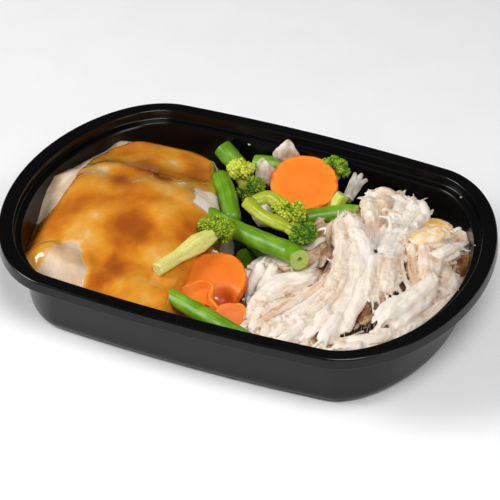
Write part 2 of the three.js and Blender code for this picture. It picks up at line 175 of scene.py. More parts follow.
SOFT_BOXES = {                       # towards the light, distance and width in mm, watts
    "left box": ((-0.77, -0.38, 0.52), 1300, 620, 13.6),
    "overhead box": ((0.36, -0.405, 0.777), 1300, 700, 13.4),
    "right fill": ((0.93, -0.25, 0.28), 1500, 500, 2.8),
}
aim = Vector((0, 0, RIM_TOP * MM))
for name, (towards, far, width, watts) in SOFT_BOXES.items():
    box = bpy.data.lights.new(name, "AREA")
    box.shape = "SQUARE"
    box.size = width * MM
    box.energy = watts
    lamp = bpy.data.objects.new(name, box)
    lamp.location = aim + Vector(towards).normalized() * far * MM
    lamp.rotation_mode = "QUATERNION"
    lamp.rotation_quaternion = Vector(towards).to_track_quat("Z", "Y")
    scene.collection.objects.link(lamp)

turn, tip, roll = (math.radians(angle) for angle in (AZIMUTH, ELEVATION, ROLL))
back = Vector((math.sin(turn) * math.cos(tip), -math.cos(turn) * math.cos(tip), math.sin(tip)))
level = Vector((math.cos(turn), math.sin(turn), 0))
upright = back.cross(level)
right = level * math.cos(roll) + upright * math.sin(roll)
view_up = back.cross(right)
camera = bpy.data.objects.new("camera", bpy.data.cameras.new("camera"))
camera.data.lens = FOCAL_LENGTH
camera.data.sensor_width = 36
camera.data.shift_x, camera.data.shift_y = CAMERA_SHIFT
camera.data.clip_end = 50
facing = Matrix((right, view_up, back)).transposed().to_4x4()
camera.matrix_world = Matrix.Translation(aim + back * DISTANCE * MM) @ facing
scene.collection.objects.link(camera)
scene.camera = camera

# ---- the tray ---------------------------------------------------------------------------
# One vacuum-formed sheet of black plastic, 1 mm thick: a flat base, a leaning wall, a ledge
# that a lid sits on, a flat rim and a short turned-down lip. Every bend has a small radius.
TRAY_LENGTH, TRAY_WIDTH = 220, 160
END_LENGTH = 45.2                    # of each rounded end, along X
SIDE_BOW = 0.108                     # swell of the long sides
SHEET = 1.0
RIM_WIDTH = 7.1
SKIRT_DROP, SKIRT_FLARE = 5.0, 0.6
STEP_DEPTH, STEP_SLOPE = 4.5, 0.5
LEDGE_WIDTH = 3.1
WALL_SLOPE = 0.1463
BASE_ROUND, BASE_INSET = 8.0, 21.3

LEDGE = RIM_TOP - STEP_DEPTH
STEP_INSET = RIM_WIDTH + STEP_SLOPE
LEDGE_INNER = STEP_INSET + LEDGE_WIDTH
WALL_LEAN = math.hypot(1, WALL_SLOPE)
WALL_FOOT = BASE_INSET - BASE_ROUND * WALL_LEAN + BASE_ROUND * WALL_SLOPE


def outline(inset, end_steps=40, side_steps=14):
    """The rim's outer edge, anticlockwise from the right end, moved in by inset millimetres."""
    straight = TRAY_LENGTH / 2 - END_LENGTH
    angles = np.linspace(0, math.pi / 2, end_steps + 1)
    x = np.concatenate([straight + END_LENGTH * np.cos(angles),
                        np.linspace(straight, -straight, 2 * side_steps + 1)[1:-1],
                        -straight - END_LENGTH * np.cos(angles[::-1])])
    half_width = TRAY_WIDTH / 2 / (1 + SIDE_BOW)
    y = np.concatenate([half_width * np.sin(angles), np.full(2 * side_steps - 1, half_width),
                        half_width * np.sin(angles[::-1])])
    y *= 1 + SIDE_BOW * (1 - (x / (TRAY_LENGTH / 2)) ** 2)
    x, y = np.append(x, -x[1:-1]), np.append(y, -y[1:-1])
    along = np.stack([np.roll(x, -1) - np.roll(x, 1), np.roll(y, -1) - np.roll(y, 1)], 1)
    along /= np.linalg.norm(along, axis=1)[:, None]
    return np.stack([x - along[:, 1] * inset, y + along[:, 0] * inset], 1)


def wall_inset(z, depth=0.0):
    """How far in the wall stands at a height, depth millimetres behind its outer face."""
    return WALL_FOOT - WALL_SLOPE * z + depth * WALL_LEAN


def rounded(profile):
    """A profile of (inset, height, radius), with each corner rounded to its radius."""
    points = []
    steps = 5
    for i, (inset, z, radius) in enumerate(profile):
        here = Vector((inset, z))
        if radius == 0 or i in (0, len(profile) - 1):
            points.append(here)
            continue
        before = Vector(profile[i - 1][:2]) - here
        after = Vector(profile[i + 1][:2]) - here
        half = before.angle(after) / 2
        reach = min(radius / math.tan(half), 0.48 * before.length, 0.48 * after.length)
        start = here + before.normalized() * reach
        end = here + after.normalized() * reach
        for step in range(steps + 1):
            share = step / steps
            points.append(start.lerp(here, share).lerp(here.lerp(end, share), share))
    return points


def new_piece(name, vertices, faces, material, replaces=(), attributes=None):
    """A mesh in millimetres made into a piece that rides on the meal's one body."""
    mesh = bpy.data.meshes.new(name)
    mesh.from_pydata((np.asarray(vertices, float) * MM).tolist(), [], faces)
    mesh.validate()
    for label, values in (attributes or {}).items():
        values = np.asarray(values, np.float32)
        kind = "FLOAT" if values.ndim == 1 else "FLOAT_VECTOR"
        layer = mesh.attributes.new(label, kind, "POINT")
        layer.data.foreach_set("value" if kind == "FLOAT" else "vector", values.ravel())
    mesh.shade_smooth()
    mesh.materials.append(material)
    piece = bpy.data.objects.new(name, mesh)
    scene.collection.objects.link(piece)
    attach(piece, "root")
    if replaces:
        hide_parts(*replaces)
    return piece


def loft(rings):
    """Faces through rings of points, each as long as the last, with both ends filled in."""
    count = len(rings[0])
    faces = []
    for r in range(len(rings) - 1):
        for i in range(count):
            a, b = r * count + i, r * count + (i + 1) % count
            faces.append((a, b, b + count, a + count))
    faces.append(tuple(range(count))[::-1])
    faces.append(tuple(range((len(rings) - 1) * count, len(rings) * count)))
    return np.concatenate(rings), faces


sharp = 0.35                         # radius of a tight bend in the sheet, inside
loose = sharp + SHEET                # and outside
base_edge = BASE_INSET + 4           # where the flat base begins
tray_profile = rounded([             # round the sheet: its outer face, then its inner one
    (base_edge, 0, 0), (BASE_INSET - BASE_ROUND * 0.93, 0, BASE_ROUND),
    (wall_inset(LEDGE - 2 * SHEET), LEDGE - 2 * SHEET, loose),
    (LEDGE_INNER - SHEET, LEDGE - SHEET, loose),
    (STEP_INSET - SHEET, LEDGE - SHEET, sharp), (RIM_WIDTH - SHEET, RIM_TOP - SHEET, sharp),
    (SKIRT_FLARE + 2 * SHEET, RIM_TOP - SHEET, 2 * sharp),
    (SHEET, RIM_TOP - SKIRT_DROP, sharp), (0, RIM_TOP - SKIRT_DROP, sharp),
    (SKIRT_FLARE, RIM_TOP, loose), (RIM_WIDTH, RIM_TOP, loose * 0.7),
    (STEP_INSET, LEDGE, loose * 0.7), (LEDGE_INNER, LEDGE, sharp * 1.6),
    (wall_inset(LEDGE - SHEET, SHEET), LEDGE - SHEET, sharp * 2),
    (wall_inset(SHEET, SHEET), SHEET, BASE_ROUND - SHEET), (base_edge, SHEET, 0),
])
tray_points, tray_faces = loft([
    np.column_stack([outline(inset), np.full(len(outline(0)), z)]) for inset, z in tray_profile])

tray_plastic, tree, shader, place = new_material("black tray plastic", specular_ior_level=0.36)
haze, gloss = uneven(tree, place, 14.0, 4.0, 0.16, 0.27)
painted(tree, shader, ramp(tree, haze, (0.35, srgb(5, 5, 5)), (0.7, srgb(9, 9, 9))), gloss)
grained(tree, shader, place, 90.0, 0.12, 0.2)
new_piece("meal_tray", tray_points, tray_faces, tray_plastic, ["tray"])

# ---- the mashed potato ------------------------------------------------------------------
# Smooth creamed potato, spooned in as one soft mound: broad spoon marks and lumps, and a
# faintly grainy skin. It runs down to the tray's wall and floor all round.
MASH_AREA = (-107, -2, -76, 78)      # x from and to, y from and to
MASH_LEVEL = 25
MASH_DOME = (-54, -4, 37, 29, 12)    # centre, half sizes and height
MASH_LUMPS = (                       # x, y, radius, height: spoon marks are below zero
    (-74, 17, 8, 3.5), (-75, -3, 10, 2.5), (-63, -30, 9, 2.5), (-50, 4, 9, 2.5),
    (-36, -10, 7, 2), (-35, 18, 9, 3), (-28, -31, 8, 3), (-28, 4, 8, 3),
    (-64, -50, 8, 4.5), (-75, -47, 6, 4), (-30, -56, 9, 3), (-58, 46, 14, 2),
    (-62, 6, 7, -2.5), (-44, -22, 9, -3), (-46, 18, 7, -2.5), (-78, -17, 7, -2),
    (-47, -48, 9, -2.5), (-18, -14, 7, -2), (-88, 10, 8, 2.2), (-87, 27, 7, 1.6),
)
MASH_FOOT = ((-74, -10, 8, 25, 40, 60), (-4, -5, -9, -16, -25, -32))   # its edge: at y, x
MASH_LEFT = ((-40, -22, -13, -3, 8, 20, 40),       # at y, how far it sinks by the left wall
             (0.62, 0.5, 0.38, 0.17, 0.05, 0.12, 0.22))
MASH_GRAIN = (                       # height, width and seed of its unevenness
    (0.7, 11, 3.1), (0.35, 4.2, 7.7), (0.16, 1.6, 1.3), (0.08, 0.8, 5.9))
TOUCH = 0.15                         # the food stays this far from the sheet
FLOOR = SHEET + TOUCH


def eased(value):
    """0 below 0, 1 above 1 and smooth between."""
    value = np.clip(value, 0, 1)
    return value * value * (3 - 2 * value)


def rough(x, y, scale, seed=0.0, z=0.0):
    """Smooth random unevenness from -1 to 1, with features about scale millimetres wide."""
    x, y, z = np.broadcast_arrays(x, y, z)
    points = np.stack([x / scale + seed, y / scale - seed, z / scale], -1).reshape(-1, 3)
    return np.array([noise.noise(point) for point in points.tolist()]).reshape(x.shape)


def from_loop(x, y, loop):
    """The gap from each side of a closed loop to each point, and the loop's sides."""
    ahead = np.roll(loop, -1, 0) - loop
    points = np.stack([x, y], -1).reshape(-1, 1, 2)
    share = np.clip(((points - loop) * ahead).sum(2) / (ahead ** 2).sum(1), 0, 1)
    return points - (loop + ahead * share[..., None]), ahead


def inset_at(x, y):
    """How far each point lies inside the rim's outer edge, with the way straight inwards."""
    gap, ahead = from_loop(x, y, outline(0.0, 24, 10))
    nearest = np.argmin((gap ** 2).sum(2), axis=1)
    gap = gap[np.arange(len(gap)), nearest]
    inward = np.stack([-ahead[nearest, 1], ahead[nearest, 0]], 1)
    inward /= np.linalg.norm(inward, axis=1)[:, None]
    inset = (gap * inward).sum(1)
    return inset.reshape(x.shape), inward.reshape(*x.shape, 2)


def tray_inside(inset):
    """Height of the tray's inner face at an inset, from the wall down to the floor."""
    wall = (WALL_FOOT + SHEET * WALL_LEAN - inset) / WALL_SLOPE
    radius = BASE_ROUND - SHEET
    into = np.clip(inset - BASE_INSET + radius, 0, radius)
    corner = SHEET + radius - np.sqrt(radius ** 2 - (radius - into) ** 2)
    return np.maximum(np.minimum(wall, LEDGE - SHEET), corner)


def heap(area, step, height, shown=None):
    """Points and faces of a closed heap that fills the tray up to height(x, y), where
    shown(x, y) holds. Its border moves until it meets the wall; its underside follows the tray."""
    x0, x1, y0, y1 = area
    columns, rows = int((x1 - x0) / step) + 1, int((y1 - y0) / step) + 1
    x, y = np.meshgrid(np.linspace(x0, x1, columns), np.linspace(y0, y1, rows))
    inset, inward = inset_at(x, y)
    z = height(x, y)
    keep = (z > tray_inside(inset) - 0.2) & (inset > LEDGE_INNER) & (z > FLOOR + 0.4)
    if shown is not None:
        keep &= shown(x, y)
    cells = keep[:-1, :-1] | keep[1:, :-1] | keep[:-1, 1:] | keep[1:, 1:]
    for _ in range(3):               # vertices outside move in until they touch the wall
        meet = np.where(z > BASE_ROUND, wall_inset(z, SHEET) - TOUCH, LEDGE_INNER)
        move = np.where(keep, 0, np.clip(meet - inset, 0, 2 * step))
        x, y = x + inward[..., 0] * move, y + inward[..., 1] * move
        inset, inward = inset_at(x, y)
        z = height(x, y)
    z = np.maximum(z, FLOOR + 0.1)
    under = np.minimum(np.maximum(tray_inside(inset) + TOUCH, FLOOR), z - 0.1)
    used = np.zeros(x.shape, bool)
    near, far = slice(None, -1), slice(1, None)
    for corner in ((near, near), (far, near), (near, far), (far, far)):
        used[corner] |= cells
    count = int(used.sum())
    number = -np.ones(x.shape, int)
    number[used] = np.arange(count)
    faces = []
    edges = {}
    for j, i in np.argwhere(cells):
        ring = [int(number[corner]) for corner in
                ((j, i), (j, i + 1), (j + 1, i + 1), (j + 1, i))]
        faces.append(tuple(ring))
        faces.append(tuple(v + count for v in ring[::-1]))
        edges.update(dict.fromkeys(zip(ring, ring[1:] + ring[:1])))
    faces += [(b, a, a + count, b + count) for a, b in edges if (b, a) not in edges]
    top = np.stack([x[used], y[used], z[used]], 1)
    bottom = np.stack([x[used], y[used], under[used]], 1)
    return np.concatenate([top, bottom]), faces


def lump_rise(x, y, lumps):
    """How high round lumps stand at each point: flat tops that fall away past their radius."""
    return sum(high / (1 + (np.hypot(x - cx, y - cy) / radius) ** 4)
               for cx, cy, radius, high in lumps)


def mash_fall(x, y):
    """How far the mound has sunk towards each of its sides, as a share of its height."""
    foot = np.interp(y, *MASH_FOOT)
    at_left = np.interp(y, *MASH_LEFT)
    return (eased((foot - x) / 11) * (1 - 0.6 * eased((y - 48) / 22))
            * (1 - 0.2 * eased((-50 - y) / 18)) * (1 - at_left * eased((-81 - x) / 18)))


def mash_mound(x, y):
    """The mound without its lumps: a level bed with one broad dome."""
    cx, cy, half_length, half_width, high = MASH_DOME
    dome = high / (1 + (((x - cx) / half_length) ** 2 + ((y - cy) / half_width) ** 2) ** 2.3)
    return MASH_LEVEL + dome


def mash_height(x, y):
    """The mash's top, with its lumps and grain."""
    grain = sum(high * rough(x, y, wide, seed) for high, wide, seed in MASH_GRAIN)
    return (mash_mound(x, y) + lump_rise(x, y, MASH_LUMPS)) * mash_fall(x, y) + grain


def mark(tree, name):
    """The value of a mesh's own attribute at each point."""
    return add_node(tree, "Attribute", attribute_name=name).outputs["Fac"]


def mixed(tree, share, first, second):
    """From the first colour to the second, as the share goes from 0 to 1."""
    return add_node(tree, "Mix", {"Factor": share, "A": first, "B": second},
                    data_type="RGBA").outputs["Result"]


mash, tree, shader, place = new_material(
    "mashed potato", subsurface_weight=0.35, subsurface_radius=(1.0, 0.7, 0.4),
    subsurface_scale=0.004, specular_ior_level=0.45)
blotch, damp = uneven(tree, place, 110.0, 5.0, 0.4, 0.6)
clean = ramp(tree, blotch, (0.3, srgb(226, 204, 178)), (0.5, srgb(238, 221, 202)),
             (0.75, srgb(246, 233, 218)))
# Towards the left the mound is painted darker and browner: partly a faint gravy stain, mostly
# painted shade.
stain_and_shade = ramp(tree, blotch, (0.3, srgb(186, 142, 100)), (0.5, srgb(206, 176, 142)),
               (0.7, srgb(216, 196, 170)))
painted(tree, shader, mixed(tree, mark(tree, "tone"), clean, stain_and_shade), damp)
grained(tree, shader, place, 900.0, 0.35, 0.4)
mash_points, mash_faces = heap(MASH_AREA, 0.8, mash_height)
# Its tone darkens the mound towards the left wall: painted shade with a faint gravy stain.
new_piece("mash_mound", mash_points, mash_faces, mash, ["mashed_potato"],
          {"tone": 0.85 * eased((-44 - mash_points[:, 0]) / 14)})

# ---- the gravy --------------------------------------------------------------------------
# A ladle of smooth brown gravy over the mash. It lies thin and yellow on the lumps, thick and
# brown in the hollows, and ends in a rolled edge that leaves some of the mash bare.
GRAVY_EDGE = (
    (-100, -34), (-97, -17), (-90, -15), (-86, -10), (-85, -4), (-85, 2), (-86, 7),
    (-88.5, 15), (-89.5, 24), (-89, 33), (-86, 41), (-79, 51), (-68, 62), (-48, 60), (-34, 47),
    (-30, 44), (-26, 36), (-24, 28), (-23, 20), (-27, 18), (-31, 15), (-30.5, 9), (-26, 4),
    (-22.5, 1.5), (-19, 1), (-14, 3),
    (-9, -8), (-7, -20), (-7, -45), (-12, -72), (-52, -72), (-54, -57), (-56.5, -49.5),
    (-60, -43.5), (-65.5, -39.5), (-70.5, -40), (-72, -46), (-75, -58), (-88, -50),
)
GRAVY_FILM = 1.5                     # usual thickness in millimetres
GRAVY_THIN = 0.25                    # and the least
GRAVY_DEEP = 3.2                     # thickness at which it looks its darkest
GRAVY_SETTLE = 0.42                  # how much of the mash's unevenness the gravy levels out
GRAVY_ROLL = 4.5                     # how far in from its edge the film is full


def loop_distance(x, y, loop):
    """Distance inside a closed loop of points, below zero outside it."""
    start = np.array(loop, float)
    gap, ahead = from_loop(x, y, start)
    gap = np.sqrt((gap ** 2).sum(2)).min(1)
    end = start + ahead
    px, py = x.reshape(-1, 1), y.reshape(-1, 1)
    spans = (start[:, 1] > py) != (end[:, 1] > py)
    rise = np.where(ahead[:, 1] == 0, 1, ahead[:, 1])
    crossing = start[:, 0] + (py - start[:, 1]) * ahead[:, 0] / rise
    inside = ((spans & (px < crossing)).sum(1) % 2) == 1
    return np.where(inside, gap, -gap).reshape(x.shape)


def gravy_thickness(x, y):
    """Thick in the mash's hollows and at the back, thin on its lumps, and sunk in outside."""
    edge = loop_distance(x, y, GRAVY_EDGE) + 1.3 * rough(x, y, 7, 2.2) + 0.5 * rough(x, y, 2.6, 9.1)
    swell = lump_rise(x, y, MASH_LUMPS) * mash_fall(x, y)
    film = GRAVY_FILM - GRAVY_SETTLE * swell + 0.45 * rough(x, y, 13, 4.4)
    # Thicker at the back: this also paints the back slope browner, partly its real depth and partly
    # painted shade.
    film = film + 0.5 * eased((y - 34) / 18)
    film = GRAVY_THIN + np.logaddexp(0, 3 * (film - GRAVY_THIN)) / 3
    return film * eased((edge + 0.4) / GRAVY_ROLL) ** 0.7 - 0.7 * eased((0.4 - edge) / 1.6)


def gravy_height(x, y):
    """The gravy's top: the mash without its grain, the film and slow waves."""
    waves = 0.45 * rough(x, y, 9, 6.3) + 0.08 * rough(x, y, 4.2, 8.8)
    waves = waves + 0.2 * eased((-30 - y) / 14) * rough(x, y, 3.4, 5.5)
    body = (mash_mound(x, y) + lump_rise(x, y, MASH_LUMPS)) * mash_fall(x, y)
    return body + gravy_thickness(x, y) + waves


def gravy_lies(x, y):
    """Where the layer is built: out to a little past its edge, which dips into the mash."""
    return loop_distance(x, y, GRAVY_EDGE) > -2.2


def added(tree, first, second):
    """The sum of two values."""
    return add_node(tree, "Math", {0: first, 1: second}, operation="ADD").outputs["Value"]


gravy, tree, shader, place = new_material(
    "gravy", subsurface_weight=0.1, subsurface_radius=(1.0, 0.45, 0.15),
    subsurface_scale=0.003, coat_weight=1.0, coat_roughness=0.04, specular_ior_level=0.5)
_, shift = uneven(tree, place, 95.0, 4.0, -0.08, 0.08)
brown = ramp(tree, added(tree, mark(tree, "depth"), shift), (0.0, srgb(226, 188, 142)),
             (0.1, srgb(222, 162, 74)), (0.25, srgb(218, 146, 40)), (0.48, srgb(202, 118, 26)),
             (0.72, srgb(170, 86, 20)), (1.0, srgb(138, 66, 20)))
_, wet = uneven(tree, place, 60.0, 4.0, 0.1, 0.2)
painted(tree, shader, brown, wet)
grained(tree, shader, place, 700.0, 0.03, 0.2)
gravy_points, gravy_faces = heap(MASH_AREA, 0.8, gravy_height, gravy_lies)
tops = len(gravy_points) // 2        # the underside follows the mash, just below its surface
x, y, z = gravy_points[:tops].T
depths = z - mash_height(x, y)
gravy_points[tops:, 2] = np.minimum(z - depths - 0.4, z - 0.2)
gravy_points[:, 2] = np.maximum(gravy_points[:, 2], FLOOR)
new_piece("gravy_layer", gravy_points, gravy_faces, gravy, ["gravy"],
          {"depth": np.tile(np.clip(depths / GRAVY_DEEP, 0, 1), 2)})

# ---- the carrots ------------------------------------------------------------------------
# Boiled slices cut straight across the root with a sharp knife: flat, slightly uneven faces, a
# paler core, a tight edge and a darker outside. One thin slice has curled over as it cooked.
CARROT_SLICES = {                    # centre, radius, thickness, tilt in degrees; then a dip's place, radius and depth; then how much darker the slice is painted all over
                                     # place, radius and depth; then depth of colour
    "carrot_slice_top": ((8, 46, 28.2), 15.2, 5.4, (20, 4, 0), (0, 0, 9, 0), 0.0),
    "carrot_slice_front": ((-2.5, -32, 24), 15, 4.2, (16, -4, 0), (8.5, -8.5, 5.5, 6.5), 0.22),
    "carrot_slice_corner": ((14, -51, 20), 8.2, 3.5, (26, 14, 0), (0, 0, 9, 0), 0.3),
}
CARROT_SIDES = 96
CURL_EDGE = (                        # the upper edge of the curled slice, where it stands up
    (-14.2, -42.7, 23.7), (-10.7, -40, 25.7), (-6.9, -38, 27.1), (-3.1, -36.7, 27.7),
    (0, -38.3, 27), (0.6, -42.2, 24.8), (4.1, -45.3, 23.6), (8.8, -47.5, 23.2),
    (11.7, -45.1, 24.5), (15.2, -43.3, 25.1), (18.3, -45, 23.8), (20, -50.5, 20.9),
)
CURL_DEEP, CURL_THICK = 10, 1.7
CURL_HANGS = (0.12, -0.42, -0.9)

carrot, tree, shader, place = new_material(
    "boiled carrot", subsurface_weight=0.2, subsurface_radius=(1.0, 0.35, 0.1),
    subsurface_scale=0.003, specular_ior_level=0.4)
_, drift = uneven(tree, place, 260.0, 5.0, -0.08, 0.08)
orange = ramp(tree, added(tree, mark(tree, "across"), drift), (0.0, srgb(243, 131, 42)),
              (0.42, srgb(243, 128, 38)), (0.52, srgb(240, 123, 34)),
              (0.85, srgb(245, 134, 34)), (0.93, srgb(247, 142, 38)), (1.0, srgb(226, 98, 26)))
_, shine = uneven(tree, place, 150.0, 5.0, 0.36, 0.55)
# The tone mixes in a dark red orange: painted shade in the dips, over each slice's own darkening.
painted(tree, shader, mixed(tree, mark(tree, "tone"), orange, srgb(180, 60, 4)), shine)
grained(tree, shader, place, 1500.0, 0.2, 0.3)


def carrot_slice(name, centre, radius, thickness, tilt, dip, darker_by):
    """One slice; dip is the place, radius and depth of a hollow that its cooking has left.
    The hollow is painted darker as shade, and the slice darker all over by its last value.
    """
    half = thickness / 2
    bevel = 0.35
    corner = [math.radians(angle) for angle in (0, 22, 45, 68, 90)]
    dip_x, dip_y, dip_radius, dip_depth = dip
    face = [(share * (radius - bevel), half) for share in np.linspace(0.04, 0.96, 14)]
    top = face + [(radius - bevel + bevel * math.sin(a), half - bevel + bevel * math.cos(a))
                  for a in corner]
    profile = top + [(r, -z) for r, z in top[::-1]]
    placed = (Matrix.Rotation(math.radians(tilt[0]), 3, "X")
              @ Matrix.Rotation(math.radians(tilt[1]), 3, "Y")
              @ Matrix.Rotation(math.radians(tilt[2]), 3, "Z"))
    angle = np.linspace(0, 2 * math.pi, CARROT_SIDES, endpoint=False)
    oval = 1 + 0.02 * np.cos(2 * angle + 1) + 0.01 * np.cos(5 * angle)
    rings, across_share, darkening = [], [], []
    for r, z in profile:
        share = r / radius
        x = r * (oval + 0.004 * np.cos(11 * angle + radius)) * np.cos(angle)
        y = r * oval * np.sin(angle)
        dish = 0.16 * rough(x, y, 5, radius) * (1 - share ** 8) - 0.1 * eased((0.5 - share) / 0.1)
        up = z + dish * np.sign(z) + 0.12 * share ** 6 * rough(x, y, 2.2, 4.0, z)
        sunk = np.exp(-(np.hypot(x - dip_x, y - dip_y) / dip_radius) ** 4)
        up = up - dip_depth * sunk
        # the dip's hollow is painted a darker red orange, as shade
        darkening.append(darker_by + 0.13 * min(dip_depth, 6) * sunk)
        rings.append(np.stack([x, y, up], 1) @ np.array(placed).T + centre)
        across_share.append(np.full(CARROT_SIDES, share if abs(z) > half - bevel * 0.5 else 1.0))
    points, faces = loft(rings[::-1])
    new_piece(name + "_cooked", points, faces, carrot, [name],
              {"across": np.concatenate(across_share[::-1]),
               "tone": np.concatenate(darkening[::-1])})


for name, slice_shape in CARROT_SLICES.items():
    carrot_slice(name, *slice_shape)


def smooth_route(points, count):
    """count points spread evenly along a smooth curve through the given ones."""
    points = np.array(points, float)
    ends = np.concatenate([[2 * points[0] - points[1]], points, [2 * points[-1] - points[-2]]])
    fine = []
    for i in range(len(points) - 1):
        a, b, c, d = ends[i:i + 4]
        t = np.linspace(0, 1, 24, endpoint=i == len(points) - 2)[:, None]
        fine.append(0.5 * (2 * b + (c - a) * t + (2 * a - 5 * b + 4 * c - d) * t ** 2
                           + (3 * b - a - 3 * c + d) * t ** 3))
    fine = np.concatenate(fine)
    length = np.concatenate([[0], np.cumsum(np.linalg.norm(np.diff(fine, axis=0), axis=1))])
    even = np.linspace(0, length[-1], count)
    return np.stack([np.interp(even, length, fine[:, k]) for k in range(3)], 1), even


path, distance = smooth_route(CURL_EDGE, 90)
hangs = np.array(CURL_HANGS) / np.linalg.norm(CURL_HANGS)
lip = [(math.cos(t), 0.5 - 0.5 * math.sin(t)) for t in np.linspace(0, math.pi, 9)]
section = ([(1, deep) for deep in np.linspace(CURL_DEEP, 1, 10)] + lip
           + [(-1, deep) for deep in np.linspace(1, CURL_DEEP, 10)])
rings, across_share = [], []
for here, ahead, s in zip(path, np.gradient(path, axis=0), distance):
    outwards = np.cross(hangs, ahead)
    outwards /= np.linalg.norm(outwards)
    thin = min(1.0, 0.35 + 0.3 * min(s, distance[-1] - s))
    rings.append([here + outwards * side * thin * CURL_THICK / 2
                  + (hangs + 0.1 * math.sin(s / 3) * outwards) * deep for side, deep in section])
    across_share.append([0.93 if deep < 0.8 else 0.6 for _, deep in section])
points, faces = loft(np.array(rings))
new_piece("carrot_curl_cooked", points, faces, carrot, ["carrot_curl"],
          {"across": np.concatenate(across_share), "tone": np.full(len(points), 0.15)})

# ---- the green beans --------------------------------------------------------------------
# Whole green beans cut to length: smooth fleshy pods with two faint seams and a slight swell
# over each seed. A cut end shows the pale flesh round a small hollow, a whole one a round tip.
BEANS = {                            # route, radius at each end, the two ends
    "bean_long": (((-20, 5, 30), (-7, -1.5, 31.5), (12, -7, 32.3), (25, -10.5, 32.8),
                   (31, -15.5, 34.4)), (3.9, 4.8), ("tip", "cut")),
    "bean_bent": (((-28, 34.5, 29), (-21, 25, 29), (-13, 13, 26)), (4.3, 4.1), ("tip", "tip")),
    "bean_front": (((-15, -49.5, 23.8), (5, -56.5, 24), (27, -63, 22.4)), (3.7, 3.7),
                   ("cut", "tip")),
    "bean_back": (((-39, 61.5, 26.5), (-29.5, 57.5, 21.5), (-20, 52, 14)), (4.5, 4.5),
                  ("cut", "cut")),
    "bean_wall": (((-22.5, 62, 22), (-11, 62.3, 24), (-2, 61.5, 25)), (4.2, 4.2), ("cut", "cut")),
    "bean_right": (((16, 30.5, 23), (26, 36.5, 24), (31, 38.5, 25), (36.6, 38, 26.6)),
                   (3.9, 3.7), ("cut", "cut")),
    "bean_low_left": (((-6, 12, 7), (-1, 1, 6.5), (4, -12, 6)), (4.2, 4.2), ("tip", "tip")),
    "bean_low_right": (((-9, 20, 14), (3, 10, 15), (16, -1, 16)), (4.0, 4.0), ("tip", "tip")),
}
SEED_SPACING = 8.5


def carried_frames(route):
    """Along, sideways and outward directions at each point, turned as little as possible."""
    along = np.gradient(route, axis=0)
    along /= np.linalg.norm(along, axis=1)[:, None]
    outward = []
    last = np.array((0, 0, 1.0))
    for step in along:
        last = last - step * (last @ step)
        last /= np.linalg.norm(last)
        outward.append(last)
    outward = np.array(outward)
    return along, np.cross(along, outward), outward


def end_rings(kind, radius):
    """(share of the radius, distance beyond the end, flesh) for rings past a sweep's end."""
    if kind == "tip":
        turns = np.radians((15, 30, 45, 60, 74, 84))
        return [(math.cos(t), 0.8 * radius * math.sin(t), 0.0) for t in turns]
    hole = [(0.26, 0.3, 1.0), (0.23, -0.2, 1.0), (0.19, -2.6, 1.0), (0.04, -3.0, 1.0)]
    rim = [(0.97, 0.16, 0.3), (0.9, 0.3, 1.0), (0.72, 0.22, 1.0), (0.5, 0.34, 1.0),
           (0.33, 0.26, 1.0)]
    return rim + (hole if kind == "cut" else [(0.15, 0.3, 1.0)])


def sweep(route, radii, ends=("plain", "plain"), sides=28, steps=48, section=None):
    """Rings along a route, closed at both ends, with attributes for its material.
    section(angle, distance) gives the swell of the outline as a share of the radius."""
    path, distance = smooth_route(route, steps)
    along, sideways, outward = carried_frames(path)
    angle = np.linspace(0, 2 * math.pi, sides, endpoint=False)
    radius = np.interp(distance, np.linspace(0, distance[-1], len(radii)), radii)
    stops = [(0, share, -beyond, flesh) for share, beyond, flesh in
             end_rings(ends[0], radius[0])[::-1]]
    stops += [(i, 1.0, 0.0, 0.0) for i in range(steps)]
    stops += [(steps - 1, share, beyond, flesh) for share, beyond, flesh in
              end_rings(ends[1], radius[-1])]
    rings, flesh_share, strand = [], [], []
    for i, share, beyond, flesh in stops:
        swell = section(angle, distance[i]) if section else np.zeros(sides)
        reach = radius[i] * share * (1 + swell)
        rings.append(path[i] + along[i] * beyond
                     + np.outer(reach * np.cos(angle), sideways[i])
                     + np.outer(reach * np.sin(angle), outward[i]))
        flesh_share.append(np.full(sides, flesh))
        strand.append(np.stack([np.full(sides, distance[i] + beyond), radius[i] * np.cos(angle),
                                radius[i] * np.sin(angle)], 1))
    points, faces = loft(rings)
    return points, faces, {"flesh": np.concatenate(flesh_share),
                           "strand": np.concatenate(strand)}


# Fibres: streaks that run along a strand, drawn out by the share that is given as Along.
fibre_streaks, given, gives = effect("fibre streaks", ("Vector", "Along", "Scale", "Detail"),
                                     ("Streaks",))
drawn_out = add_node(fibre_streaks, "CombineXYZ", {"X": given["Along"], "Y": 1.0, "Z": 1.0})
strung = add_node(fibre_streaks, "VectorMath",
                  {0: given["Vector"], 1: drawn_out.outputs["Vector"]}, operation="MULTIPLY")
streaks = add_node(fibre_streaks, "TexNoise", {"Vector": strung.outputs["Vector"],
                                               "Scale": given["Scale"],
                                               "Detail": given["Detail"]})
fibre_streaks.links.new(streaks.outputs["Fac"], gives["Streaks"])


def fibrous(tree, along, scale, detail):
    """Streaks along a mesh's own strands."""
    strand = add_node(tree, "Attribute", attribute_name="strand").outputs["Vector"]
    return add_node(tree, "Group", {"Vector": strand, "Along": along, "Scale": scale,
                                    "Detail": detail}, node_tree=fibre_streaks).outputs["Streaks"]


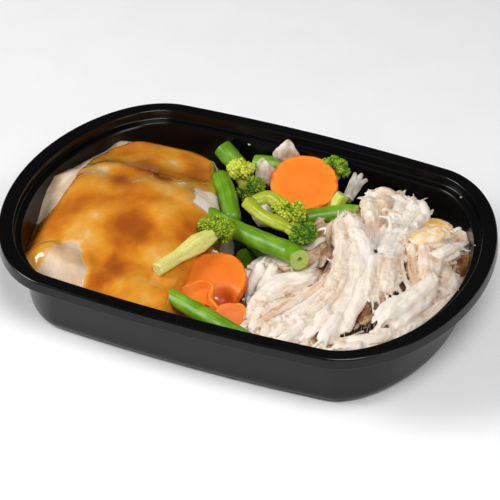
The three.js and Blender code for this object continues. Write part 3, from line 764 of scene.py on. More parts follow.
bean, tree, shader, place = new_material(
    "green bean", subsurface_weight=0.12, subsurface_radius=(0.4, 1.0, 0.2),
    subsurface_scale=0.002, coat_weight=0.06, coat_roughness=0.2, specular_ior_level=0.45)
streaked = fibrous(tree, 0.05, 1.4, 4.0)
patches, satin = uneven(tree, place, 120.0, 3.0, 0.32, 0.46)
both = add_node(tree, "Math", {0: added(tree, streaked, patches), 1: 0.5}, operation="MULTIPLY")
pod_skin = ramp(tree, both.outputs["Value"], (0.3, srgb(70, 114, 10)), (0.5, srgb(102, 150, 22)),
                (0.7, srgb(140, 180, 54)))
inside = ramp(tree, streaked, (0.3, srgb(156, 180, 74)), (0.7, srgb(192, 206, 116)))
painted(tree, shader, mixed(tree, mark(tree, "flesh"), pod_skin, inside), satin)
grained(tree, shader, place, 1100.0, 0.12, 0.3)

for number, (name, (route, radii, ends)) in enumerate(BEANS.items()):
    def pod(angle, distance, number=number):
        """The swell of this bean's outline: two seams, its seeds and a little unevenness."""
        seams = -0.035 * sum(np.exp(-((angle - seam) / 0.16) ** 2) for seam in (1.2, 4.3))
        seeds = 0.022 * math.cos(2 * math.pi * distance / SEED_SPACING + number)
        return seams + seeds + 0.02 * rough(np.cos(angle), np.sin(angle), 0.9, number, distance / 9)
    points, faces, marks = sweep(route, radii, ends, section=pod)
    new_piece(name + "_pod", points, faces, bean, [name], marks)

# ---- the broccoli -----------------------------------------------------------------------
# Steamed florets: a pale ribbed stalk cut off with a knife, which forks into short branches,
# each ending in a tight cluster of tiny round buds. The buds are dark where they are closed
# and yellow green where the heat has opened them. Buds that face in between the clusters, and
# the knobs beneath them, are painted darker as shade.
FLORETS = {   # stalk route, radii and paleness; crowns: centre, size, clusters, bud radius, its
              # stretch and tone
    "broccoli_long": (((-5.5, 13.5, 35.5), (4, 6, 36.5), (17.5, 2.5, 36)), (3.2, 2.7, 3.0), 0.3,
                      (((23.6, 2.8, 35.0), (7.2, 6.6, 4.7), 17, 0.66, 0.3, 0.38),)),
    "broccoli_curled": (((-6, 22, 31), (-1.5, 25.5, 32), (3, 24.5, 32.3), (7, 21, 32)),
                        (2.8, 3.1, 3.0), 0.35,
                        (((10.2, 18.8, 32), (8.2, 6.6, 5.2), 17, 0.8, 0.3, 0.78),)),
    "broccoli_front": (((-24, -43, 31), (-17.5, -28, 32.5), (-14, -19.5, 33.2),
                        (-12, -14, 33.5)), (3.1, 3.1, 4.6), 0.95,
                       (((-11.2, -9.4, 34.2), (7.8, 6.4, 4.8), 18, 0.5, 1.9, 0.6),)),
    "broccoli_back": (((-22.5, 45, 26), (-16.5, 43, 20), (-10, 41, 12)), (3.6, 3.8, 4.2), 0.5,
                      (((-23, 45, 28.3), (5.8, 5.4, 4.8), 10, 1.0, 0.4, 0.94),
                       ((-16.5, 42, 22.5), (6.0, 4.6, 5.4), 12, 0.55, 1.9, 0.46))),
    "broccoli_far": (((16.5, 58, 26), (13, 52, 17), (11, 48, 9)), (3, 3.2, 3.6), 0.5,
                     (((16.5, 61, 30), (6.4, 5.4, 5.8), 14, 0.66, 0.3, 0.5),)),
}

stalk_flesh, tree, shader, place = new_material(
    "broccoli stalk", subsurface_weight=0.2, subsurface_radius=(0.7, 1.0, 0.25),
    subsurface_scale=0.003, specular_ior_level=0.45)
streaked = fibrous(tree, 0.09, 1.9, 5.0)
streak_shift = add_node(tree, "MapRange", {"Value": streaked, "From Min": 0.3, "From Max": 0.7,
                                           "To Min": -0.3, "To Max": 0.3}).outputs["Result"]
stalk_skin = ramp(tree, added(tree, mark(tree, "tone"), streak_shift),
                  (0.0, srgb(142, 162, 28)), (0.4, srgb(178, 188, 52)),
                  (0.75, srgb(206, 204, 92)), (1.0, srgb(226, 218, 136)))
inside = ramp(tree, streaked, (0.3, srgb(206, 208, 112)), (0.7, srgb(226, 222, 150)))
_, satin = uneven(tree, place, 200.0, 4.0, 0.32, 0.48)
painted(tree, shader, mixed(tree, mark(tree, "flesh"), stalk_skin, inside), satin)
grained(tree, shader, place, 500.0, 0.3, 0.4)

buds_skin, tree, shader, place = new_material(
    "broccoli buds", subsurface_weight=0.08, subsurface_radius=(0.4, 1.0, 0.2),
    subsurface_scale=0.001, specular_ior_level=0.45)
_, vary = uneven(tree, place, 420.0, 3.0, -0.16, 0.16)
bud_green = ramp(tree, added(tree, mark(tree, "tone"), vary), (0.0, srgb(32, 68, 2)),
                 (0.3, srgb(68, 110, 5)), (0.55, srgb(116, 150, 10)), (0.8, srgb(168, 182, 22)),
                 (1.0, srgb(204, 208, 76)))
_, dull = uneven(tree, place, 300.0, 3.0, 0.35, 0.58)
painted(tree, shader, bud_green, dull)
grained(tree, shader, place, 900.0, 0.2, 0.2)


def ball(subdivisions):
    """Points and triangles of a unit ball."""
    mesh = bpy.data.meshes.new("ball")
    shape = bmesh.new()
    bmesh.ops.create_icosphere(shape, subdivisions=subdivisions, radius=1)
    shape.to_mesh(mesh)
    shape.free()
    points = np.array([v.co for v in mesh.vertices])
    faces = [tuple(f.vertices) for f in mesh.polygons]
    bpy.data.meshes.remove(mesh)
    return points, faces


def joined(parts):
    """Several (points, faces, attributes) made into one."""
    points, faces, marks, start = [], [], {}, 0
    for part_points, part_faces, part_marks in parts:
        points.append(part_points)
        faces += [tuple(v + start for v in face) for face in part_faces]
        start += len(part_points)
        for label, values in part_marks.items():
            marks.setdefault(label, []).append(values)
    return np.concatenate(points), faces, {k: np.concatenate(v) for k, v in marks.items()}


def spread_over_ball(count, jitter, random):
    """Directions spread evenly over a ball."""
    i = np.arange(count) + 0.5
    up = 1 - 2 * i / count
    turn = math.pi * (1 + 5 ** 0.5) * i
    flat = np.sqrt(1 - up ** 2)
    ways = np.stack([flat * np.cos(turn), flat * np.sin(turn), up], 1)
    ways += random.normal(0, jitter, ways.shape)
    return ways / np.linalg.norm(ways, axis=1)[:, None]


bud_points, bud_faces = ball(1)
knob_points, knob_faces = ball(3)


def crown_of_buds(fork, centre, size, clusters, bud, stretch, tone, random):
    """Clusters of buds on the outer side of a crown, and the branches that hold them."""
    centre, size = np.array(centre, float), np.array(size, float)
    grows = centre - fork
    grows /= np.linalg.norm(grows)
    buds, branches = [], []
    ways = [way for way in spread_over_ball(int(clusters * 1.7), 0.16, random)
            if way @ grows > -0.35]
    for way in ways:
        reach = random.uniform(0.3, 0.42) * size.mean()
        heart = centre + way * (size - reach * 0.75) * random.uniform(0.86, 1.06)
        bend = fork + (heart - fork) * 0.5 + way * 0.3
        thick = random.uniform(0.55, 0.8)
        branches.append(sweep((fork - grows * 3, bend, heart), (thick * 2.2, thick * 1.2),
                              sides=10, steps=8))
        lumpy = 1 + 0.12 * rough(*knob_points.T[:2], 0.5, reach, knob_points[:, 2])
        # the knob under the buds is painted darker, as shade between them
        buds.append((heart + knob_points * (reach * 0.86 * lumpy)[:, None], knob_faces,
                     {"tone": np.full(len(knob_points), tone - 0.28)}))
        for outwards in spread_over_ball(int(62 * (0.6 / bud) ** 1.5), 0.1, random):
            if outwards @ (way + grows * 0.4) < -0.35:
                continue
            radius = bud * random.uniform(0.75, 1.25)
            at = heart + outwards * reach * random.uniform(0.9, 1.06)
            # buds that face in between the clusters are painted darker, as shade
            shade = tone + 0.3 * (outwards @ way) - 0.18 + random.uniform(-0.16, 0.16)
            drawn = np.outer(bud_points @ outwards, outwards) * radius * stretch
            buds.append((at + (bud_points * radius + drawn), bud_faces,
                         {"tone": np.full(len(bud_points), shade)}))
    return joined(buds), joined(branches)


def ribbed(angle, distance):
    """The swell of a stalk's outline: a few ribs that twist slowly, and unevenness."""
    ribs = 5
    return (0.07 * np.cos(ribs * angle + 0.03 * distance)
            + 0.06 * rough(np.cos(angle), np.sin(angle), 0.7, ribs, distance / 14))


for number, (name, (route, radii, pale, crowns)) in enumerate(FLORETS.items()):
    random = np.random.default_rng(40 + number)
    towards = min((0, -1), key=lambda k: np.linalg.norm(np.subtract(route[k], crowns[0][0])))
    fork = np.array(route[towards], float)
    heart = np.array(crowns[0][0], float)
    inner = tuple(fork + (heart - fork) * 0.8)
    if towards:
        route, radii = (*route, inner), (*radii, radii[-1] * 0.6)
    else:
        route, radii = (inner, *route), (radii[0] * 0.6, *radii)
    stems = [sweep(route, radii, sides=40, steps=40, section=ribbed)]
    heads = []
    for crown in crowns:
        buds, branches = crown_of_buds(fork, *crown, random)
        heads.append(buds)
        stems.append(branches)
    points, faces, marks = joined(stems)
    marks["tone"] = np.full(len(points), pale)
    new_piece(name + "_stalk", points, faces, stalk_flesh, [name], marks)
    points, faces, marks = joined(heads)
    new_piece(name + "_buds", points, faces, buds_skin, (), marks)

points, faces, marks = sweep(((27, 44.5, 29.5), (25, 42, 25), (22, 38, 17)), (3, 3.4),
                             sides=40, steps=24, section=ribbed)
marks["tone"] = np.full(len(points), 0.5)
new_piece("broccoli_cut_stalk", points, faces, stalk_flesh, ["broccoli_cut"], marks)

# ---- the pale vegetables ----------------------------------------------------------------
# Bits of cauliflower and onion, boiled until glassy: soft blunt wedges with layered sides,
# and one thin shred that forks at its end.
WEDGES = {                           # centre, half sizes, number of cut faces, seed
    "cauliflower_back": ((-7.5, 62, 31.4), (5.4, 3.6, 6.0), 9, 3),
    "cauliflower_side": ((-12.8, 50.5, 26.4), (5.2, 4.0, 6.6), 10, 8),
    "cauliflower_middle": ((0, 22, 24.5), (6, 5, 5.2), 9, 5),
}

pale_flesh, tree, shader, place = new_material(
    "pale vegetable", subsurface_weight=0.5, subsurface_radius=(1.0, 0.8, 0.6),
    subsurface_scale=0.004, specular_ior_level=0.5)
veins, glassy = uneven(tree, place, 210.0, 5.0, 0.28, 0.46)
painted(tree, shader, ramp(tree, veins, (0.3, srgb(176, 158, 132)), (0.5, srgb(206, 194, 176)),
                           (0.72, srgb(232, 226, 214))), glassy)
grained(tree, shader, place, 420.0, 0.3, 0.4)

SOFT_CORNER = 16                     # the higher, the tighter the corners between the cuts
wedge_points, wedge_faces = ball(5)
for name, (centre, size, cuts, seed) in WEDGES.items():
    random = np.random.default_rng(seed)
    planes = spread_over_ball(cuts, 0.3, random)
    far = random.uniform(0.78, 1.05, cuts)
    reach = np.maximum(wedge_points @ planes.T, 0.02) / far
    reach = (reach ** SOFT_CORNER).sum(1) ** (-1 / SOFT_CORNER)
    x, y, z = wedge_points.T
    reach = np.minimum(reach, 1.25) * (1 + 0.05 * rough(x, y, 0.4, seed, z)
                                       + 0.02 * rough(x, y, 0.13, seed, z))
    new_piece(name + "_bit", wedge_points * reach[:, None] * size + centre, wedge_faces,
              pale_flesh, [name])

SHRED_FORKS = (                      # route and radii
    (((29, 46, 27), (28.8, 51, 28.4), (28, 56.5, 29.8), (26.6, 60.6, 31)), (2.4, 2.5, 2.3, 0.8)),
    (((29, 47, 27.6), (29.2, 56, 29.8), (29.6, 61.2, 31)), (2.2, 2.3, 0.8)),
    (((29.4, 47, 27.4), (30.6, 55.5, 29.2), (32.4, 59.8, 29.6)), (2.0, 2.0, 0.9)),
)
points, faces, marks = joined([sweep(route, radii, sides=20, steps=24, section=ribbed)
                               for route, radii in SHRED_FORKS])
new_piece("onion_shred_forked", points, faces, pale_flesh, ["onion_shred"], marks)

# ---- the shredded chicken ---------------------------------------------------------------
# Cooked breast pulled apart by hand along its grain: flat ribbed strips with torn, fraying
# ends, laid over each other on a heap of smaller shreds, with a little golden skin left on.
CHICKEN_AREA = (-4, 104, -76, 72)    # x from and to, y from and to
CHICKEN_LEVEL = 26
STRIP_FALL = 5.0                     # how steeply a strip's top drops past its edges
STRIP_FULLER, SKIN_FULLER = 1.12, 1.35             # wider than their routes' widths
SKIN_CELL = 0.5                      # side of the small faces of the fused strips
HOLLOW_DEPTH = 0.7                   # a hollow this deep is painted fully brown, as shade and juices
CHICKEN_TOP = 41.0
CHICKEN_STRIPS = {                   # route of the middle, widths along it, thickness, tone; the high tones of the strips that lie in shade, recesses and holes are painted shade
    "back_hump_a": (((36.5, 49, 28), (41.5, 42, 30), (46, 33, 30.5), (49, 26, 29)), (6, 9, 7),
        6, 0.3),
    "back_hump_b": (((42, 52, 29), (46.5, 45, 31), (50, 37, 31)), (6, 8, 6), 5, 0.36),
    "peak_left": (((35.5, 25, 34), (39, 13.5, 33), (44.5, 1.5, 31.5), (48.5, -10.5, 30),
        (49.5, -25.5, 28), (47, -39.5, 26.5), (44.5, -53.5, 24.5)), (7, 9, 7), 6.5, 0.25),
    "peak_right": (((38, 24.5, 36.5), (43.5, 16.5, 34), (49, 7.5, 32), (53.5, -5, 30),
        (56.5, -20, 27.5), (57, -35.5, 25.5), (56.5, -51.5, 23.5)), (7, 10, 7), 6.5, 0.15),
    "peak_flap": (((43.5, 14.5, 36.5), (49.5, 11, 34.5), (54, 4.5, 32.5), (56, -5, 30.5),
        (57, -19.5, 28.5)), (5, 7, 4), 4, 0.03),
    "hole_edge": (((55.5, 7.5, 30.5), (59.5, -6, 30), (62, -20.5, 28.5), (62.5, -33, 26.5),
        (62.5, -46, 24)), (5, 6.5, 5), 5, 0.1),
    "smooth_strip": (((36.5, -7.5, 24.5), (32, -16.5, 25), (26, -24.5, 25), (22.5, -33.5, 24),
        (21.5, -43, 22), (22, -50.5, 19)), (8, 10, 6), 7.5, 0.1),
    "left_chunk": (((29.5, -11, 27.5), (20, -7, 23.5), (11.5, -6, 21), (7, -14, 21)), (7, 9, 6),
        6, 0.22),
    "left_strand_a": (((12.5, -13.5, 28), (12.5, -18, 24), (12, -23.5, 19), (11.5, -25, 13.5)),
        (4, 5, 4), 3.5, 0),
    "left_strand_b": (((18, -10.5, 26), (18, -19, 24), (17.5, -29, 22.5)), (4, 5, 4), 3.5, 0.06),
    "left_strand_c": (((8, -16, 23.5), (9, -20.5, 19.5), (11, -24.5, 15)), (4, 4.5, 4), 3.5, 0),
    "bean_strand": (((31.5, 14, 27.5), (29, 9, 27), (26, 3.5, 26)), (2.5, 3.6, 3), 2.6, 0.12),
    "shade_a": (((24, 25, 29), (24.5, 22, 23), (29.5, 15, 21.5), (31.5, 3, 23.5)), (6, 7, 6),
        5, 0.6),
    "shade_b": (((31.5, 23, 31), (33.5, 14, 27.5), (39, 6.5, 25.5), (41.5, -4, 24.5),
        (41, -16, 24.5)), (4, 5, 5), 4.5, 0.5),
    "shade_c": (((27.5, 25, 27.5), (29.5, 18.5, 24.5), (35.5, 9.5, 24.5), (37, -4, 27.5)),
        (4, 4.5, 4), 3.5, 0.55),
    "shade_d": (((36, 17.5, 31.5), (39.5, 8.5, 28.5), (42.5, -1, 27), (43.5, -12.5, 26.5)),
        (3.5, 4, 4), 3.5, 0.5),
    "under_smooth": (((42, -7.5, 26), (42.5, -17, 25), (38.5, -26, 24), (34, -35.5, 24)),
        (4, 5.5, 4), 4, 0.35),
    "lower_a": (((48, -24.5, 30.5), (43, -30, 26), (38, -38.5, 24), (34.5, -49.5, 24)), (4, 5, 4),
        3.5, 0.2),
    "lower_b": (((47, -32.5, 29), (42, -39, 25.5), (38, -49, 23.5), (35, -59.5, 23.5)), (4, 4.5, 4),
        3.5, 0.15),
    "lower_c": (((37.5, -30.5, 25), (33.5, -39, 24.5), (29.5, -47, 24), (27.5, -54.5, 23)),
        (3.5, 4, 3.5), 3, 0.35),
    "lower_d": (((47, -44.5, 27.5), (44, -52.5, 26), (41, -61, 24)), (4, 5, 5), 4, 0.08),
    "lower_e": (((33, -31, 25), (29, -39, 25), (26, -47.5, 24.5)), (3, 4, 3.5), 3, 0.3),
    "lower_f": (((53, -34, 28.5), (50.5, -44, 26), (49.5, -55, 24)), (5, 6, 5), 4, 0.05),
    "lower_g": (((58, -35, 27.5), (57.5, -45, 26), (57, -55, 24)), (4, 5, 5), 4, 0),
    "lower_h": (((34.5, -45, 24), (32, -52.5, 23), (32, -59, 22)), (4, 4.5, 4), 3.5, 0.3),
    "lower_i": (((24.5, -41, 25), (24.5, -48, 23), (26, -56, 21.5)), (3.5, 4, 4), 3.5, 0.15),
    "back_brown_a": (((37.5, 49, 29), (42, 42.5, 28), (46, 35, 26.5), (47.5, 27, 24.5)),
        (6, 8.5, 6), 6, 0.75),
    "back_tan": (((42, 52, 32), (47.5, 43.5, 31), (50, 34.5, 29), (50.5, 23.5, 25.5)), (5, 6, 4),
        4.5, 0.38),
    "back_brown_b": (((38, 45, 26.5), (40.5, 37.5, 25.5), (45, 30.5, 24.5)), (5, 6, 5), 5, 0.7),
    "back_crest": (((40, 49, 33), (45.5, 51, 32), (51, 50.5, 30.5)), (4, 5, 4), 4.5, 0.3),
    "back_white_a": (((50, 56, 30), (53.5, 45, 28.5), (54, 31, 27), (53.5, 19, 25)), (8, 9, 6),
        6, 0),
    "back_white_b": (((57.5, 53.5, 31), (59, 43, 28), (59, 26, 28.5), (60.5, 5, 32)), (6, 8.5, 5),
        6, 0),
    "back_white_c": (((64, 51, 27), (64, 38, 27.5), (63, 20.5, 29), (63.5, 2, 31)), (5, 7, 5),
        5, 0.06),
    "back_edge": (((60, 52.5, 31.5), (65, 49, 28), (65.5, 43, 24.5)), (4, 5, 4), 4, 0.12),
    "white_thread": (((54.5, 29.5, 36.5), (56.5, 27, 31.5), (55, 20, 29), (55, 10.5, 29.5)),
        (1.6, 2, 1.6), 1.6, 0),
    "white_spike": (((51, 28.5, 27.5), (53.5, 16.5, 29.5), (55.5, 6, 31.5)), (1.6, 3, 2.4), 2.2, 0),
    "back_low": (((43, 28.5, 28.5), (48.5, 21.5, 28.5), (51.5, 14.5, 28)), (3.5, 4.5, 4), 4, 0.3),
    "crumbly_a": (((60, 20.5, 27), (64.5, 4, 29.5), (68.5, -8.5, 29), (70.5, -16, 26)), (6, 8, 6),
        6, 0.2),
    "crumbly_b": (((59.5, 7.5, 32), (62.5, -3.5, 30), (65.5, -14.5, 28), (66, -22.5, 25)),
        (5, 6.5, 5), 5, 0.2),
    "crumbly_c": (((58, 3.5, 33), (62, -10.5, 31.5), (65, -22.5, 30)), (2.4, 3, 2.4), 2.5, 0.12),
    "crumbly_d": (((67, 8.5, 28), (69.5, 0, 27), (73, -6.5, 26)), (3, 4, 3), 3.5, 0.12),
    "fan_a": (((65.5, 21.5, 31), (64.5, 15.5, 28), (67, 5.5, 27), (71, -7, 27.5)), (4, 5, 4),
        4, 0.4),
    "fan_b": (((69, 22, 31.5), (72.5, 15.5, 27.5), (77.5, 5, 26), (83, -7.5, 27)), (5, 7, 6),
        5, 0.5),
    "fan_c": (((72, 26, 31), (77.5, 17.5, 28.5), (82, 8, 27.5), (84, -3, 28)), (6, 8, 6), 5, 0.35),
    "fan_recess": (((67, 22, 29), (68, 16, 24.5), (72.5, 8, 22.5), (77.5, -1.5, 23)), (4, 5, 5),
        4, 0.95),
    "fan_thread": (((66.5, 14.5, 28.5), (72.5, 2, 27.5), (79.5, -8, 26.5)), (1.8, 2.4, 1.8),
        2, 0.3),
    "fan_d": (((78, 28, 27), (82, 20, 27), (83.5, 11, 27), (83.5, -1, 27.5)), (5, 7, 5), 5, 0.25),
    "golden_edge": (((83, 30.5, 28), (78.5, 26, 28), (75, 21.5, 27.5)), (3.5, 5, 4), 4, 0.35),
    "tapered": (((79.5, 16, 29), (84, 21.5, 30), (86.5, 30, 28), (88.5, 41, 24)), (5.5, 5, 1.6),
        3.5, 0.08),
    "tapered_low": (((81.5, 16, 27.5), (86, 22.5, 27), (89.5, 29.5, 27)), (4, 4.5, 3), 3, 0.15),
    "slab_a": (((82.5, 10.5, 27), (87.5, 16, 23), (92, 16, 19)), (6, 8, 6), 5, 0.2),
    "slab_b": (((87, 20, 22), (91.5, 10, 22.5), (92, -3, 22.5)), (6, 8, 6), 5, 0.22),
    "slab_c": (((94, 14, 20.5), (94.5, 2.5, 21), (92.5, -10, 21.5)), (5, 6, 5), 4.5, 0.3),
    "long_a": (((81, 9, 27.5), (85.5, 1.5, 27.5), (83, -10.5, 27), (79, -21, 26.5),
        (75.5, -33, 26)), (5, 8, 6), 6, 0.05),
    "long_b": (((88, 1.5, 26), (87, -10.5, 25), (84, -22, 24.5), (81.5, -33.5, 24)), (5, 6, 5),
        4.5, 0.1),
    "long_c": (((93.5, 0, 23.5), (91.5, -9, 21.5), (88, -20, 21), (85, -33, 23)), (5, 6, 5),
        4.5, 0.15),
    "long_d": (((76.5, -9, 24.5), (74.5, -20.5, 25.5), (73.5, -32, 26)), (4, 6, 5), 4.5, 0.03),
    "long_e": (((80, -7, 26.5), (78, -18, 27.5), (77, -29.5, 28)), (4, 5, 4), 4, 0),
    "long_f": (((89.5, -16.5, 21.5), (86.5, -27.5, 22.5), (82.5, -38.5, 23.5)), (4, 5, 5), 4, 0.1),
    "bottom_a": (((65, -47.5, 23), (72, -46.5, 24.5), (78, -41.5, 24.5), (83.5, -32.5, 23)),
        (5, 6, 5), 4.5, 0.1),
    "bottom_b": (((62.5, -57, 25.5), (69.5, -54, 25.5), (75.5, -49.5, 25.5)), (5, 5, 5), 4, 0.1),
    "bottom_c": (((74, -40, 26), (79.5, -38, 24.5), (84, -31, 23)), (4, 5, 4), 4, 0.1),
    "hole_brown_a": (((66, -16, 22), (66, -24, 22), (67, -33, 21.5)), (4, 5, 5), 4, 0.95),
    "hole_brown_b": (((71.5, -16, 24), (71, -24, 23), (69, -30.5, 22.5)), (4, 5, 4), 4, 0.75),
}
CHICKEN_SKIN = {                     # the same, for the bits of skin
    "golden_a": (((84, 34.5, 30), (78, 32.5, 31), (73, 26.5, 31.5), (67.5, 21, 31.5)), (5, 8.5, 5),
        5, 0.1),
    "golden_b": (((78.5, 48, 24), (71, 46.5, 24.5), (66, 39.5, 25)), (4, 6, 4), 4.5, 0.25),
    "skin_a": (((87, 27.5, 24.5), (89.5, 24, 22), (91, 18.5, 19.5)), (5, 7, 5), 4, 0.9),
    "skin_b": (((89.5, 31.5, 25.5), (91.5, 27.5, 23), (91.5, 23, 20)), (3, 4.5, 3), 3, 0.8),
}
CHICKEN_HOLES = (                    # x, y, radius and depth of the gaps between strips
    (66, -35, 8.5, 14), (61.5, -41, 4, 7), (75, 6, 3.5, 4), (73, -7, 4, 4), (37, -2, 3.5, 3),
    (45, 44, 3, 3), (46, 37, 2.5, 3), (45, 26, 3, 3), (36, -64, 4, 5), (27, -49, 3, 4),
    (56, 17, 3, 2),
)


def shape_of_heap(x, y):
    """Height of the heap without its strips: it falls to the carrots, beans and walls."""
    to_carrots = eased(((x + 2) * 0.971 + (y - 12) * 0.236) / 11)
    to_beans = eased(((x - 6) * 0.844 - y * 0.537 + 6) / 14)
    to_walls = (eased((66 - y) / 18) * (1 - 0.22 * eased((x - 80) / 20))
                * (1 - 0.16 * eased((-44 - y) / 22)))
    return CHICKEN_LEVEL * to_carrots * to_beans * to_walls


def strip_tops(x, y):
    """Height of the highest strip at each point, falling away beyond its edges, and its way."""
    top = np.full(x.shape, -50.0)
    way = np.zeros((*x.shape, 2))
    for route, widths, thick, _ in CHICKEN_STRIPS.values():
        for k, (a, b) in enumerate(zip(route, route[1:])):
            a, b = np.array(a, float), np.array(b, float)
            ahead = b[:2] - a[:2]
            share = np.clip(((x - a[0]) * ahead[0] + (y - a[1]) * ahead[1])
                            / max(ahead @ ahead, 1e-6), 0, 1)
            off = np.hypot(x - a[0] - ahead[0] * share, y - a[1] - ahead[1] * share)
            wide = np.interp(k + share, np.linspace(0, len(route) - 1, len(widths)), widths) / 2
            here = a[2] + (b[2] - a[2]) * share + thick / 2 - STRIP_FALL * (off / wide) ** 2
            higher = here > top
            top = np.where(higher, here, top)
            way[higher] = ahead / max(np.linalg.norm(ahead), 1e-6)
    return top, way


def core_height(x, y):
    """The heap under the strips, lower than their tops and sunk at the gaps."""
    top, _ = strip_tops(x, y)
    inner = np.maximum(shape_of_heap(x, y) - 3.0, np.minimum(top - 2.6, 60))
    inner = inner - lump_rise(x, y, CHICKEN_HOLES)
    return (inner + 0.9 * rough(x, y, 4.5, 3.3) + 0.9 * np.abs(rough(x, y, 2.6, 6.1))
            + 0.5 * np.abs(rough(x, y, 1.3, 2.4)))


meat, tree, shader, place = new_material(
    "cooked chicken", subsurface_weight=0.3, subsurface_radius=(1.0, 0.62, 0.42),
    subsurface_scale=0.0025, specular_ior_level=0.35)
coarse = fibrous(tree, 0.07, 1.5, 5.0)
fine = fibrous(tree, 0.07, 4.5, 3.0)
grain_shift = add_node(tree, "MapRange", {"Value": coarse, "From Min": 0.3, "From Max": 0.7,
                                          "To Min": 0.14, "To Max": -0.14}).outputs["Result"]
_, juices = uneven(tree, place, 130.0, 4.0, -0.1, 0.12)
toned = added(tree, added(tree, mark(tree, "tone"), grain_shift), juices)
# Its brown end is partly juices and partly painted shade for the hollows, gaps and shaded strips.
pale_to_brown = ramp(tree, toned, (0.0, srgb(243, 233, 221)), (0.2, srgb(236, 220, 202)),
                     (0.42, srgb(221, 192, 162)), (0.65, srgb(188, 144, 106)),
                     (1.0, srgb(126, 78, 42)))
_, moist = uneven(tree, place, 170.0, 4.0, 0.4, 0.6)
painted(tree, shader, pale_to_brown, moist)
strand_relief = add_node(tree, "Bump", {"Height": added(tree, coarse, fine), "Strength": 0.5,
                                        "Distance": 0.4 * MM})
tree.links.new(strand_relief.outputs["Normal"], shader.inputs["Normal"])

roast_skin, tree, shader, place = new_material(
    "roast chicken skin", subsurface_weight=0.2, subsurface_radius=(1.0, 0.5, 0.2),
    subsurface_scale=0.002, specular_ior_level=0.5)
_, roast = uneven(tree, place, 190.0, 5.0, -0.22, 0.22)
golden = ramp(tree, added(tree, mark(tree, "tone"), roast), (0.0, srgb(240, 222, 194)),
              (0.2, srgb(238, 192, 116)), (0.4, srgb(228, 166, 78)), (0.75, srgb(140, 92, 44)),
              (1.0, srgb(92, 52, 22)))
_, oily = uneven(tree, place, 190.0, 5.0, 0.28, 0.45)
painted(tree, shader, golden, oily)
grained(tree, shader, place, 260.0, 0.5, 0.5)


def strip_body(path, distance, widths, thick, tone, random, ragged, ridges, sides):
    """One bundle of fibres: a flat grooved section whose fibres break off at their own
    lengths. Every vertex keeps its place along the strand and the strand's own axes."""
    seed = random.uniform(0, 50)
    along, sideways, outward = carried_frames(path)
    length, widest = distance[-1], max(widths)
    angle = np.linspace(0, 2 * math.pi, sides, endpoint=False)
    round_x, round_y = np.cos(angle), np.sin(angle)
    jag = ragged * widest * np.stack([0.5 + 0.9 * rough(round_x, round_y, 0.33, seed + k)
                                      for k in (0, 9)])
    u = np.linspace(0, 1, len(path))[:, None]
    s = jag[0] + u * (length - jag[0] - jag[1])
    wide = np.interp(s, np.linspace(0, length, len(widths)), widths) / 2
    near_end = np.minimum(u, 1 - u) * length / (0.4 * widest)
    close = np.sqrt(1 - (1 - np.clip(near_end, 0.02, 1)) ** 2)
    grooves = (ridges * rough(round_x, round_y, 0.3, seed, s / 16)
               + 0.6 * ridges * rough(round_x, round_y, 0.13, seed + 4, s / 9)
               + 0.16 * rough(round_x, round_y, 0.8, seed + 7, s / 6))
    reach = close * (1 + grooves)

    def at(values):
        return np.stack([np.interp(s, distance, values[:, k]) for k in range(3)], -1)

    axes = [at(values) for values in (along, sideways, outward)]
    points = (at(path) + axes[1] * (wide * reach * round_x)[..., None]
              + axes[2] * (thick * wide / widest * reach * round_y)[..., None])
    points, faces = loft(list(points))
    strand = np.stack([s, wide * round_x, thick / 2 * round_y + 0 * s], -1)
    return points, faces, {"strand": strand.reshape(-1, 3) + seed,
                           "tone": np.full(len(points), float(tone)),
                           "axes": np.concatenate(axes, -1).reshape(-1, 9)}


def torn_strip(route, widths, thick, tone, random, ragged=0.5, ridges=0.15, tufts=5):
    """A pulled strip of meat with stubby broken bundles of fibre at both of its ends."""
    rows = int(np.linalg.norm(np.diff(np.array(route, float), axis=0), axis=1).sum() / 0.9) + 10
    path, distance = smooth_route(route, rows)
    seed = random.uniform(0, 50)
    path = path + 0.5 * np.stack([rough(distance, k * 9.0, 7, seed) for k in (1, 2, 3)], 1)
    sides = int(np.clip(3.0 * max(widths), 16, 42))
    parts = [strip_body(path, distance, widths, thick, tone, random, ragged, ridges, sides)]
    along, sideways, outward = carried_frames(path)
    for end, sign in ((0, -1), (-1, 1)):
        for _ in range(int(random.integers(1, tufts))):
            way = along[end] * sign + random.normal(0, 0.3, 3)
            way[2] = min(way[2], 0.0) - 0.1
            start = (path[end] - along[end] * sign * random.uniform(1.5, 4)
                     + sideways[end] * random.uniform(-0.38, 0.38) * widths[end]
                     + outward[end] * random.uniform(-0.2, 0.25) * thick)
            long = random.uniform(3.5, 7.5)
            stub = (start, start + way * long * 0.5, start + way * long + (0, 0, -0.12 * long))
            stub_path, stub_distance = smooth_route(stub, 9)
            wide = random.uniform(1.1, 2.2)
            parts.append(strip_body(stub_path, stub_distance, (wide, wide * 0.7), wide * 0.6,
                                    tone * 0.7, random, 0.3, 0.1, 10))
    return joined(parts)


def held_in_tray(points):
    """Points that would pass through the wall or the floor moved back inside the tray."""
    held = points.copy()
    near = np.flatnonzero((np.abs(points[:, 0]) > 72) | (np.abs(points[:, 1]) > 42))
    for some in np.array_split(near, len(near) // 20000 + 1):
        inset, inward = inset_at(points[some, 0], points[some, 1])
        short = np.clip(wall_inset(np.maximum(points[some, 2], BASE_ROUND), SHEET) + 0.35
                        - inset, 0, None)
        held[some, :2] += inward * short[:, None]
    held[:, 2] = np.clip(held[:, 2], FLOOR + 0.4, CHICKEN_TOP)
    return held


